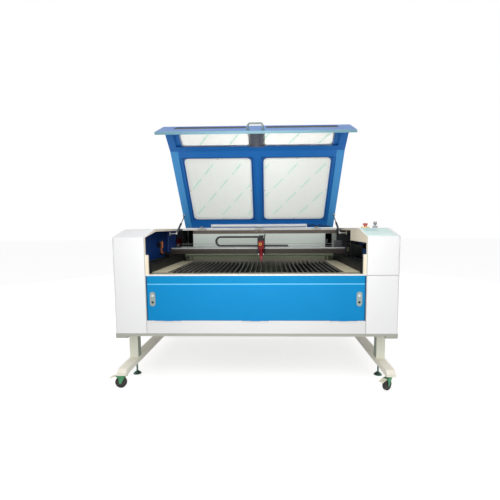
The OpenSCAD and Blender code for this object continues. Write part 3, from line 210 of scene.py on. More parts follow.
# depth of a grain as a share of its width
GRAIN_DEPTH_SHARE = 0.3
LEAST_ROUGHNESS = 0.03

# from this cosine on, two directions count as parallel
PARALLEL = 0.99

Socket = bpy.types.NodeSocket
Point = tuple[float, float, float]


def linear(hex_colour: str) -> tuple[float, float, float, float]:
    """Turns an sRGB hex colour into linear RGBA, with the numbers of the sRGB standard.

    Args:
        hex_colour: six hex digits, with or without a leading hash.
    Returns:
        Linear red, green, blue and an alpha of one.
    """
    digits = hex_colour.lstrip("#")
    parts = [int(digits[i : i + 2], 16) / 255.0 for i in (0, 2, 4)]
    low = [p / 12.92 if p <= 0.04045 else ((p + 0.055) / 1.055) ** 2.4 for p in parts]
    return (low[0], low[1], low[2], 1.0)


def add(tree: bpy.types.NodeTree, kind: str, inputs: dict[Any, Any] | None = None,
        **settings: Any) -> bpy.types.Node:
    """Adds one node with its settings, values and links.

    Args:
        tree: the node tree.
        kind: the node's type name.
        inputs: socket name or index, to a value or to the socket that feeds it.
        settings: the node's own properties.
    Returns:
        The new node.
    """
    made = tree.nodes.new(kind)
    for key, value in settings.items():
        setattr(made, key, value)
    for key, value in (inputs or {}).items():
        if isinstance(value, Field):
            value = value.socket
        if isinstance(value, Socket):
            tree.links.new(value, made.inputs[key])
        else:
            made.inputs[key].default_value = value
    return made


class Field:
    """A number that varies over a surface, built up from Math nodes."""

    def __init__(self, tree: bpy.types.NodeTree, socket: Socket) -> None:
        """Keeps the tree and the socket that gives the number."""
        self.tree = tree
        self.socket = socket

    def op(self, operation: str, *others: Any) -> Field:
        """Applies a Math operation to this number.

        Args:
            operation: Math node operation.
            others: further operands, numbers or fields.
        Returns:
            The result as a field.
        """
        values: dict[Any, Any] = {0: self}
        values.update({i + 1: other for i, other in enumerate(others)})
        return Field(self.tree, add(self.tree, "ShaderNodeMath", values, operation=operation).outputs[0])

    def __add__(self, other: Any) -> Field:
        """Sum."""
        return self.op("ADD", other)

    def __sub__(self, other: Any) -> Field:
        """Difference."""
        return self.op("SUBTRACT", other)

    def __mul__(self, other: Any) -> Field:
        """Product."""
        return self.op("MULTIPLY", other)

    def __abs__(self) -> Field:
        """Size without the sign."""
        return self.op("ABSOLUTE")

    def below(self, edge: float) -> Field:
        """One where the number is below an edge, zero elsewhere."""
        return self.op("LESS_THAN", edge)

    def above(self, edge: float, soft: float = 0.0) -> Field:
        """One where the number is above an edge, zero below, with a soft step.

        Args:
            edge: where the step lies.
            soft: half width of the step.
        Returns:
            A mask from zero to one.
        """
        if soft <= 0.0:
            return self.op("GREATER_THAN", edge)
        node = add(self.tree, "ShaderNodeMapRange", {0: self, 1: edge - soft, 2: edge + soft, 3: 0.0, 4: 1.0})
        return Field(self.tree, node.outputs[0])

    def within(self, low: float, high: float, soft: float = 0.0) -> Field:
        """One between two edges, zero outside."""
        return self.above(low, soft) - self.above(high, soft)


class Coat:
    """What a finish works on: a surface's place and facing, and the mixing of its colours."""

    def __init__(self, tree: bpy.types.NodeTree) -> None:
        """Starts from the object's own coordinates, which are the frame's.

        Args:
            tree: the material's node tree.
        """
        self.tree = tree
        self.place = add(tree, "ShaderNodeTexCoord").outputs["Object"]
        split = add(tree, "ShaderNodeSeparateXYZ", {0: self.place})
        self.x, self.y, self.z = (Field(tree, split.outputs[i]) for i in range(3))
        normal = add(tree, "ShaderNodeNewGeometry").outputs["True Normal"]
        facing = add(tree, "ShaderNodeSeparateXYZ", {0: normal})
        self.nx, self.ny, self.nz = (Field(tree, facing.outputs[i]) for i in range(3))

    def noise(self, size_mm: float, detail: float, stretch: Sequence[float] = (1.0, 1.0, 1.0)) -> Field:
        """Gives a noise whose grains are about a size.

        Args:
            size_mm: size of a grain.
            detail: octaves.
            stretch: how many times longer the grains are along each axis.
        Returns:
            The noise, from zero to one.
        """
        scale = [1.0 / (size_mm * MM * s) for s in stretch]
        place = add(self.tree, "ShaderNodeMapping", {"Vector": self.place, "Scale": scale}).outputs[0]
        made = add(self.tree, "ShaderNodeTexNoise", {"Vector": place, "Scale": 1.0, "Detail": detail})
        return Field(self.tree, made.outputs[0])

    def along(self, origin: Point, axis: Point) -> Field:
        """Gives the distance from an origin along an axis, in metres.

        Args:
            origin: where the distance starts.
            axis: the way it runs, of length one.
        Returns:
            The distance.
        """
        kind = "ShaderNodeVectorMath"
        shifted = add(self.tree, kind, {0: self.place, 1: origin}, operation="SUBTRACT")
        dot = add(self.tree, kind, {0: shifted.outputs[0], 1: axis}, operation="DOT_PRODUCT")
        return Field(self.tree, dot.outputs["Value"])

    def mix(self, mask: Any, base: Any, over: Any) -> Socket:
        """Lays one colour over another where a mask is one.

        Args:
            mask: a number or field from zero to one.
            base: the colour below, a socket or hex text.
            over: the colour above, a socket or hex text.
        Returns:
            The mixed colour.
        """
        pair = [linear(c) if isinstance(c, str) else c for c in (base, over)]
        made = add(self.tree, "ShaderNodeMix", {0: mask, 6: pair[0], 7: pair[1]}, data_type="RGBA")
        return made.outputs[2]


@dataclass(frozen=True)
class Finish:
    """A surface finish: what the stuff is and how its surface was made.

    The fine grain carries the bump, the broad mottle shifts the colour towards the shade, and both vary
    the gloss.
    """

    name: str
    colour: str
    shade: str
    roughness: float = 0.42
    metallic: float = 0.0
    grain_mm: float = 1.6
    bump: float = 0.06
    stretch: Point = (1.0, 1.0, 1.0)
    mottle_mm: float = 160.0
    mottle: float = 0.5
    spread: float = 0.12
    specular: float = 0.5

    def tint(self, coat: Coat, colour: Socket) -> Socket:
        """Adds the finish's own pattern to its colour; plain finishes have none."""
        return colour

    def finish_shader(self, shader: bpy.types.Node) -> None:
        """Sets what only some finishes have, such as transmission; plain finishes have none."""

    def make(self) -> bpy.types.Material:
        """Builds the material.

        Returns:
            The node-based material.
        """
        material = bpy.data.materials.new(self.name)
        material.use_nodes = True
        tree = material.node_tree
        tree.nodes.clear()
        coat = Coat(tree)
        broad = coat.noise(self.mottle_mm, MOTTLE_DETAIL)
        grain = coat.noise(self.grain_mm, GRAIN_DETAIL, self.stretch)
        colour = self.tint(coat, coat.mix(broad * self.mottle, self.colour, self.shade))
        smooth = max(self.roughness - self.spread / 2, LEAST_ROUGHNESS)
        rough = add(tree, "ShaderNodeMapRange", {0: grain * 0.5 + broad * 0.5, 1: NOISE_RANGE[0],
                    2: NOISE_RANGE[1], 3: smooth, 4: self.roughness + self.spread / 2})
        depth = self.grain_mm * MM * GRAIN_DEPTH_SHARE
        bump = add(tree, "ShaderNodeBump", {"Strength": self.bump, "Distance": depth, "Height": grain})
        shader = add(tree, "ShaderNodeBsdfPrincipled", {"Base Color": colour, "Roughness": rough.outputs[0],
                     "Normal": bump.outputs[0]})
        shader.inputs["Metallic"].default_value = self.metallic
        shader.inputs["Specular IOR Level"].default_value = self.specular
        self.finish_shader(shader)
        add(tree, "ShaderNodeOutputMaterial", {"Surface": shader.outputs[0]})
        material.diffuse_color = linear(self.colour)
        return material


@dataclass(frozen=True)
class ClearFinish(Finish):
    """A clear or milky stuff: how much light goes through it, and how it bends light."""

    through: float = 0.75
    ior: float = 1.47

    def finish_shader(self, shader: bpy.types.Node) -> None:
        """Lets light through."""
        shader.inputs["Transmission Weight"].default_value = self.through
        shader.inputs["IOR"].default_value = self.ior


@dataclass(frozen=True)
class Machine:
    """Where the machine's own axes lie in the frame, read from its solids."""

    middle: float
    front: float

    @classmethod
    def read(cls) -> Machine:
        """Reads the middle and the front plane from the two cabinets.

        Returns:
            The machine's axes.
        """
        left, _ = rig.box("left_cabinet")
        _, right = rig.box("right_cabinet")
        return cls((left.x + right.x) / 2, left.y)

    def at(self, x: float, y: float, z: float) -> Vector:
        """Turns millimetres about the machine's middle, front plane and floor into the frame's metres."""
        return Vector((self.middle + x * MM, self.front + y * MM, z * MM))


class Side(Enum):
    """The two sides of the machine, as signs along X."""

    LEFT = -1
    RIGHT = 1

    @property
    def word(self) -> str:
        """The side's name as pieces carry it."""
        return self.name.lower()

    def mirror(self, point: Point) -> Point:
        """Puts a point of the right side on this side."""
        return (self.value * point[0], point[1], point[2])


# Finishes, with their places and widths in the frame's metres


@dataclass(frozen=True)
class CabinetCoat(Finish):
    """Powder-coated cover sheet: smooth, faintly pebbled outside, dark blue primer inside, painted shade behind."""

    middle: float = 0.0
    front: float = 0.0
    front_depth: float = 0.3
    wall_x: float = 0.935
    inside: str = "#2050A2"
    painted_shade_x: float = 0.855
    painted_shade: str = "#0C0E12"
    inner: float = 0.732
    trim_w: float = 0.005
    trim: str = "#BDBDB4"
    seam_z: tuple[float, float] = (0.7400, 0.7440)
    seam: str = "#A6A6A0"

    def tint(self, coat: Coat, colour: Socket) -> Socket:
        """Paints the faces that look into the machine, paints shade on the rear ones and draws trim and seam.

        Args:
            coat: the surface.
            colour: its colour outside.
        Returns:
            The colour of both sides.
        """
        off = coat.x - self.middle
        away = abs(off)
        deep = self.front + self.front_depth
        to_front = coat.ny.below(-FACING)
        side = (coat.nx * off).below(-INWARD) * away.above(self.wall_x)
        under = coat.nz.below(-FACING)
        behind = coat.ny.above(FACING) * coat.y.below(deep)
        ahead = to_front * coat.y.above(deep)
        inside = (side + under + behind + ahead).op("MINIMUM", 1.0)
        # the real joint is 1.5 mm wide; it is drawn 4 mm wide, or the render would lose it
        seam = coat.z.within(*self.seam_z) * off.above(self.inner)
        colour = coat.mix(away.below(self.inner + self.trim_w) * to_front, colour, self.trim)
        colour = coat.mix(seam, colour, self.seam)
        colour = coat.mix(inside, colour, self.inside)
        # painted shade: near black on the inner faces that look forward from the rear
        return coat.mix(ahead * away.below(self.painted_shade_x), colour, self.painted_shade)


@dataclass(frozen=True)
class WallPaint(Finish):
    """Rear wall paint: white beam, painted shadow strip, pale panels, painted shade at right, olive foot with a line.
    """

    beam_z: float = 1.0345
    shadow_strip_z: float = 1.001
    low_z: float = 0.8705
    foot_z: tuple[float, float] = (0.7995, 0.8095)
    shaded_panel_x: float = 0.0
    deep_shade_x: float = 0.0
    beam: str = "#E6E5DE"
    strip: str = "#584E43"
    low: str = "#5F664E"
    foot: str = "#8C9676"
    shaded_panel: str = "#8A928A"
    dark: str = "#0E1116"

    def tint(self, coat: Coat, colour: Socket) -> Socket:
        """Paints shade on the right panels, grey then near black, the foot with its line, the shadow strip and the
        beam.

        Args:
            coat: the surface.
            colour: the panels' colour.
        Returns:
            The colour of the whole wall.
        """
        # painted shade: the right panels greyer, then near black further right
        colour = coat.mix(coat.x.above(self.shaded_panel_x), colour, self.shaded_panel)
        colour = coat.mix(coat.x.above(self.deep_shade_x), colour, self.dark)
        colour = coat.mix(coat.z.below(self.low_z), colour, self.low)
        colour = coat.mix(coat.z.within(*self.foot_z), colour, self.foot)
        # painted shadow: a brown strip under the white beam
        colour = coat.mix(coat.z.above(self.shadow_strip_z), colour, self.strip)
        return coat.mix(coat.z.above(self.beam_z), colour, self.beam)


@dataclass(frozen=True)
class ChamberWall(Finish):
    """Cream paint on the chamber's side walls, with painted shade in near black at the rear."""

    painted_shade_y: float = 0.0
    painted_shade_soft: float = 0.02
    painted_shade: str = "#1C1C1B"

    def tint(self, coat: Coat, colour: Socket) -> Socket:
        """Paints shade onto the rear of the walls."""
        return coat.mix(coat.y.above(self.painted_shade_y, self.painted_shade_soft), colour, self.painted_shade)


@dataclass(frozen=True)
class TablePaint(Finish):
    """Enamelled table frame: dull brown-grey, pale side ledges, a greener rim along the rear rail, darker on top."""

    middle: float = 0.0
    ledge_x: float = 0.56
    ledge: str = "#C4BA9C"
    rear_y: float = 0.0
    rim_z: float = 0.0
    rim: str = "#767E60"
    rim_top: str = "#4C513D"

    def tint(self, coat: Coat, colour: Socket) -> Socket:
        """Lightens the side ledges and greens the upper part of the rear rail.

        Args:
            coat: the surface.
            colour: the enamel's colour.
        Returns:
            The colour of the whole frame.
        """
        up = coat.nz.above(FACING)
        rear = coat.y.above(self.rear_y) * coat.z.above(self.rim_z)
        colour = coat.mix(up * abs(coat.x - self.middle).above(self.ledge_x), colour, self.ledge)
        colour = coat.mix(rear, colour, self.rim)
        return coat.mix(rear * up, colour, self.rim_top)


@dataclass(frozen=True)
class BracketPlate(Finish):
    """Zinc-plated strut brackets; the hinge leaves behind them are painted over with the wall."""

    paint_y: float = 0.0
    shadow_strip_z: float = 1.0345
    paint: str = "#C4C5C0"
    strip: str = "#5A5045"

    def tint(self, coat: Coat, colour: Socket) -> Socket:
        """Paints what lies at the rear, with painted shadow in brown below the wall's white beam.

        Args:
            coat: the surface.
            colour: the plate's colour.
        Returns:
            The colour of plate and paint.
        """
        rear = coat.y.above(self.paint_y)
        colour = coat.mix(rear, colour, self.paint)
        # painted shadow: brown below the wall's white beam, as on the wall
        return coat.mix(rear * coat.z.below(self.shadow_strip_z), colour, self.strip)


@dataclass(frozen=True)
class BladeSteel(Finish):
    """Sheared strip steel: black mill scale with a painted highlight along the tips."""

    edge_z: float = 0.7545
    edge_soft: float = 0.001
    edge: str = "#BDB9AE"
    highlight_patch_mm: float = 26.0
    highlight_patch: tuple[float, float] = (0.42, 0.14)

    def tint(self, coat: Coat, colour: Socket) -> Socket:
        """Paints a highlight along the tips, in patches."""
        highlight_patches = coat.noise(self.highlight_patch_mm, MOTTLE_DETAIL).above(*self.highlight_patch)
        return coat.mix(coat.z.above(self.edge_z, self.edge_soft) * highlight_patches, colour, self.edge)


@dataclass(frozen=True)
class PostCoat(Finish):
    """Ivory powder coat, with greenish painted shade on the sides that face each other under the machine."""

    middle: float = 0.0
    inner: str = "#7F8A74"

    def tint(self, coat: Coat, colour: Socket) -> Socket:
        """Paints shade on the inner sides."""
        return coat.mix((coat.nx * (coat.x - self.middle)).below(-INWARD), colour, self.inner)


@dataclass(frozen=True)
class DoorCoat(Finish):
    """Blue powder coat, painted shade where the sheet turns in at both ends, a painted highlight on the top fold."""

    middle: float = 0.0
    shaded_end_x: float = 0.722
    fold_highlight_z: float = 1.0
    end: str = "#17507F"
    fold: str = "#66C6F4"

    def tint(self, coat: Coat, colour: Socket) -> Socket:
        """Paints shade on the ends and a highlight along the top fold."""
        # the folds' real radius is 2 mm; they are drawn 8 to 10 mm wide, or the render would lose them
        # painted highlight along the top fold
        colour = coat.mix(coat.z.above(self.fold_highlight_z), colour, self.fold)
        # painted shade where the sheet turns in at the ends
        return coat.mix(abs(coat.x - self.middle).above(self.shaded_end_x), colour, self.end)


@dataclass(frozen=True)
class RailPaint(DoorCoat):
    """The same blue coat with an ivory strip along the rail's top edge; the kick panel below is white."""

    edge_z: float = 0.741
    kick_z: float = 0.4375
    strip: str = "#EFEDE6"
    kick: str = "#E7E7E6"

    def tint(self, coat: Coat, colour: Socket) -> Socket:
        """Leaves the blue between the white kick panel and the ivory rim strip.

        Args:
            coat: the surface.
            colour: the blue.
        Returns:
            The colour of the whole front.
        """
        # the door's painted shade at the ends and painted highlight above the fold height
        colour = super().tint(coat, colour)
        colour = coat.mix(coat.z.above(self.edge_z), colour, self.strip)
        return coat.mix(coat.z.below(self.kick_z), colour, self.kick)


@dataclass(frozen=True)
class TrayPaint(Finish):
    """Black rail covers; the front of the chain tray's outer wall is blue like the cabinet behind it."""

    wall_x: float = 0.0
    wall_y: float = 0.0
    wall: str = "#15478F"

    def tint(self, coat: Coat, colour: Socket) -> Socket:
        """Paints the front of the tray's outer wall."""
        return coat.mix(coat.x.above(self.wall_x) * coat.y.below(self.wall_y), colour, self.wall)


@dataclass(frozen=True)
class SplitPlastic(Finish):
    """Moulded plastic in two colours either side of a plane across the machine."""

    split_x: float = 0.0
    other: str = "#808080"

    def tint(self, coat: Coat, colour: Socket) -> Socket:
        """Colours what lies right of the plane."""
        return coat.mix(coat.x.above(self.split_x), colour, self.other)


@dataclass(frozen=True)
class BeamAluminium(Finish):
    """Extruded aluminium: grey on top and along its upper edge, with a dark brown-black face to the operator."""

    face: str = "#261E19"
    edge_z: float = 0.8835

    def tint(self, coat: Coat, colour: Socket) -> Socket:
        """Darkens the faces that look to the front, below the grey edge."""
        return coat.mix(coat.ny.below(-FACING) * coat.z.below(self.edge_z), colour, self.face)


@dataclass(frozen=True)
class BeltDrive(Finish):
    """Black-enamelled motor with a grey polyurethane belt along the middle of the beam."""

    middle: float = 0.0
    reach: float = 0.63
    belt: str = "#7E827F"

    def tint(self, coat: Coat, colour: Socket) -> Socket:
        """Greys the belt between the motor and the idler."""
        return coat.mix(abs(coat.x - self.middle).below(self.reach), colour, self.belt)


@dataclass(frozen=True)
class MirrorMount(Finish):
    """Orange anodised front plate before a black spring plate, both turned half-way to the beam."""

    centre: Point = (0.0, 0.0, 0.0)
    facing: Point = (0.707, 0.707, 0.0)
    plate: float = 0.0085
    spring: str = "#2A2B2D"

    def tint(self, coat: Coat, colour: Socket) -> Socket:
        """Blackens what lies behind the front plate."""
        return coat.mix(coat.along(self.centre, self.facing).below(-self.plate), colour, self.spring)


@dataclass(frozen=True)
class HeadAnodised(Finish):
    """Red anodised block: a black top, a brass ring in front, bright thumbscrews and a black hose elbow."""

    middle: float = 0.0
    face_y: float = 0.0
    ring: tuple[float, float] = (0.006, 0.925)
    eye_r: float = 0.0055
    top_z: float = 0.952
    barrel: float = 0.0157
    thumb_z: float = 0.8475
    elbow_z: tuple[float, float] = (0.8575, 0.8815)
    black: str = "#1A1B1D"
    brass: str = "#C98A3C"
    eye: str = "#2A1D14"
    screw: str = "#D9DADA"

    def tint(self, coat: Coat, colour: Socket) -> Socket:
        """Colours the top, the ring and its dark eye, the elbow and the screws beside the barrel.

        Args:
            coat: the surface.
            colour: the red.
        Returns:
            The colour of the whole block.
        """
        off = coat.x - self.middle
        across, up = off + self.ring[0], coat.z - self.ring[1]
        ring = coat.y.below(self.face_y)
        eye = (across * across + up * up).below(self.eye_r ** 2)
        elbow = off.above(self.barrel) * coat.z.within(*self.elbow_z)
        screws = abs(off).above(self.barrel) * coat.z.below(self.thumb_z)
        colour = coat.mix(coat.z.above(self.top_z), colour, self.black)
        colour = coat.mix(ring, colour, self.brass)
        colour = coat.mix(ring * eye, colour, self.eye)
        colour = coat.mix(elbow, colour, self.black)
        return coat.mix(screws, colour, self.screw)


@dataclass(frozen=True)
class StrutLacquer(Finish):
    """Black lacquered tube with zinc end fittings."""

    ends: tuple[Point, ...] = ()
    reach: float = 0.017
    fitting: str = "#C9CCCD"

    def tint(self, coat: Coat, colour: Socket) -> Socket:
        """Brightens what lies near each end.

        Args:
            coat: the surface.
            colour: the tube's colour.
        Returns:
            The colour of tube and fittings.
        """
        for end in self.ends:
            away = add(coat.tree, "ShaderNodeVectorMath", {0: coat.place, 1: end}, operation="DISTANCE")
            near = Field(coat.tree, away.outputs["Value"]).below(self.reach)
            colour = coat.mix(near, colour, self.fitting)
        return colour


@dataclass(frozen=True)
class LidCoat(Finish):
    """Blue powder coat: painted highlight on side lips, painted shade in folds and by slope panes, grey-blue front
    hem.
    """

    middle: float = 0.0
    hinge: Point = (0.0, 0.0, 0.0)
    normal: Point = (0.0, 0.0, 1.0)
    run: Point = (0.0, -1.0, 0.0)
    hem_y: float = 0.0
    hem: str = "#638E9D"
    lip_x: float = 0.632
    lip_deep: tuple[float, float] = (-0.0005, 0.0004)
    lip: str = "#4A9BD8"
    lip_share: float = 0.85
    fold_shade_deep: tuple[float, float] = (0.0022, 0.0148)
    fold_shade: str = "#174F96"
    fold_shade_share: float = 0.8
    slope_v: tuple[float, float] = (0.832, 1.0)
    slope_soft: float = 0.006
    pane_x: float = 0.062
    slope_shade: str = "#77736A"
    slope_shade_share: float = 0.85
    frame: tuple[float, float, float, float] = (0.036, 0.611, 0.092, 0.741)
    frame_w: float = 0.008
    step_shade: str = "#0B2F66"
    step_shade_share: float = 0.8

    def tint(self, coat: Coat, colour: Socket) -> Socket:
        """Paints shade in folds, between slope panes and round large panes, a highlight on the lips, and the hem.

        Args:
            coat: the surface.
            colour: the blue.
        Returns:
            The colour of the whole lid.
        """
        deep = coat.along(self.hinge, self.normal)
        ahead = coat.along(self.hinge, self.run)
        off = abs(coat.x - self.middle)
        inward = (coat.ny * self.normal[1] + coat.nz * self.normal[2]).below(-FACING)
        fold_shade = deep.within(*self.fold_shade_deep)
        lips = deep.within(*self.lip_deep) * off.above(self.lip_x)
        between = ahead.within(*self.slope_v, self.slope_soft) * inward * off.below(self.pane_x)
        x0, x1, v0, v1 = self.frame
        w = self.frame_w
        outer = off.within(x0, x1) * ahead.within(v0, v1)
        inner = off.within(x0 + w, x1 - w) * ahead.within(v0 + w, v1 - w)
        # painted shade in the folds, painted highlight on the lips, painted shade between the slope panes
        colour = coat.mix(fold_shade * self.fold_shade_share, colour, self.fold_shade)
        colour = coat.mix(lips * self.lip_share, colour, self.lip)
        colour = coat.mix(between * self.slope_shade_share, colour, self.slope_shade)
        # painted shade at the 1 mm step where the panes' backing sheets end; drawn 8 mm wide, or the render would lose
        # it
        colour = coat.mix((outer - inner) * inward * self.step_shade_share, colour, self.step_shade)
        return coat.mix(coat.y.below(self.hem_y), colour, self.hem)


@dataclass(frozen=True)
class FilmAcrylic(ClearFinish):
    """Clear acrylic under a milky protective film with pale green dashes; smoked acrylic in the front plate.

    The dashes stand in staggered cells, and faint creases run along the cells. The shifts set the first
    cell and keep every count of cells above zero. The creases' half widths are shares of a cell.
    """

    through: float = 0.9
    ior: float = 1.49
    origin: Point = (0.0, 0.0, 0.0)
    run: Point = (0.0, -1.0, 0.0)
    smoked_y: float = -1.0
    smoke: str = "#3A3633"
    flat_v: float = 0.8
    flat: str = "#DEE1DC"
    cell_u: float = 0.232
    cell_v: float = 0.139
    dash_u: float = 0.080
    dash_v: float = 0.098
    dash_w: float = 0.0056
    dash_shift: float = 40.25
    print_mm: float = 7.0
    print_detail: float = 1.0
    print_edge: tuple[float, float] = (0.42, 0.1)
    mark: str = "#8CCDB2"
    mark_share: float = 0.8
    crease_shift: float = 40.0
    crease_half_shares: tuple[float, float] = (0.012, 0.009)
    line: str = "#D2D2CB"
    line_share: float = 0.5

    def tint(self, coat: Coat, colour: Socket) -> Socket:
        """Greys the large panes, draws the film's creases and dashes, and smokes the front panes.

        Args:
            coat: the surface.
            colour: the film's colour.
        Returns:
            The colour of all panes.
        """
        u = coat.x - self.origin[0]
        v = coat.along(self.origin, self.run)
        row = v * (1 / self.cell_v)
        odd = abs(row.op("FLOOR").op("MODULO", 2.0))
        in_u = (u * (1 / self.cell_u) + odd * 0.5 + self.dash_shift).op("FRACT") - 0.5
        in_v = row.op("FRACT") - 0.5
        length = math.hypot(self.dash_u, self.dash_v)
        lean_u, lean_v = self.dash_u / length, self.dash_v / length
        across = abs(in_u * (self.cell_u * lean_v) - in_v * (self.cell_v * lean_u))
        ahead = abs(in_u * (self.cell_u * lean_u) + in_v * (self.cell_v * lean_v))
        broken = coat.noise(self.print_mm, self.print_detail).above(*self.print_edge)
        dash = across.below(self.dash_w) * ahead.below(length / 2) * broken
        half_u, half_v = self.crease_half_shares
        crease_u = abs((u * (2 / self.cell_u) + self.crease_shift).op("FRACT") - 0.5).below(half_u)
        crease_v = abs((row + 0.5).op("FRACT") - 0.5).below(half_v)
        colour = coat.mix(v.below(self.flat_v), colour, self.flat)
        colour = coat.mix(crease_u.op("MAXIMUM", crease_v) * self.line_share, colour, self.line)
        colour = coat.mix(dash * self.mark_share, colour, self.mark)
        return coat.mix(coat.y.below(self.smoked_y), colour, self.smoke)


@dataclass(frozen=True)
class LockPlate(Finish):
    """Satin chrome lock plates with a black key barrel below the push button."""

    middle: float = 0.0
    key_x: float = 0.6880
    key_z: float = 0.5630
    key_r: float = 0.0078
    black: str = "#16201F"

    def tint(self, coat: Coat, colour: Socket) -> Socket:
        """Blackens the key barrel of each plate.

        Args:
            coat: the surface.
            colour: the chrome's colour.
        Returns:
            The colour of plate and barrel.
        """
        off = abs(coat.x - self.middle) - self.key_x
        up = coat.z - self.key_z
        return coat.mix((off * off + up * up).below(self.key_r ** 2), colour, self.black)


@dataclass(frozen=True)
class PanelFilm(Finish):
    """Printed membrane: pale teal with a bluish display window and paler key fields."""

    low: Point = (0.0, 0.0, 0.0)
    run: Point = (0.0, 1.0, 0.0)
    width: float = 0.186
    length: float = 0.232
    screen_rim: float = 0.008
    screen_width_share: float = 0.52
    screen_start_share: float = 0.56
    key_rim: float = 0.004
    key_start_share: float = 0.56
    key_top_share: float = 0.36
    row_width_share: float = 0.5
    row_top: float = 0.027
    pale: str = "#E4EEF0"
    pale_share: float = 0.55
    screen: str = "#9FC3C6"
    screen_share: float = 0.5

    def tint(self, coat: Coat, colour: Socket) -> Socket:
        """Draws the display and the fields round the keys.

        Args:
            coat: the surface.
            colour: the film's colour.
        Returns:
            The colour of the whole panel.
        """
        u = coat.x - self.low[0]
        v = coat.along(self.low, self.run)
        wide, long, rim, edge = self.width, self.length, self.screen_rim, self.key_rim
        screen = (u.within(rim, rim + wide * self.screen_width_share)
                  * v.within(long * self.screen_start_share, long - rim))
        keys = (u.within(wide * self.key_start_share, wide - edge)
                * v.within(edge, long * self.key_top_share))
        row = u.within(edge, wide * self.row_width_share) * v.within(edge, self.row_top)
        colour = coat.mix((keys + row).op("MINIMUM", 1.0) * self.pale_share, colour, self.pale)
        return coat.mix(screen * self.screen_share, colour, self.screen)


@dataclass(frozen=True)
class LampFinish(Finish):
    """Extruded lamp body with a milky diffuser on the side away from the lid."""

    down: Point = (0.0, 0.0, -1.0)
    edge: tuple[float, float] = (0.6, 0.1)
    milky: str = "#F1F3F2"

    def tint(self, coat: Coat, colour: Socket) -> Socket:
        """Makes the faces that look away from the lid milky white."""
        down = coat.nx * self.down[0] + coat.ny * self.down[1] + coat.nz * self.down[2]
        return coat.mix(down.above(*self.edge), colour, self.milky)


# Camera, light and floor


@dataclass(frozen=True)
class Lamp:
    """A soft square lamp: place and target in millimetres, edge length in metres, power in watts."""

    name: str
    place: Point
    target: Point
    size: float
    power: float

    def hang(self, machine: Machine) -> None:
        """Adds the lamp to the scene.

        Args:
            machine: the machine whose axes the place and the target follow.
        """
        data = bpy.data.lights.new(self.name, "AREA")
        data.size = self.size
        data.energy = self.power
        lamp = bpy.data.objects.new(self.name, data)
        bpy.context.scene.collection.objects.link(lamp)
        place = machine.at(*self.place)
        aim = (machine.at(*self.target) - place).to_track_quat("-Z", "Y")
        lamp.matrix_world = Matrix.Translation(place) @ aim.to_matrix().to_4x4()


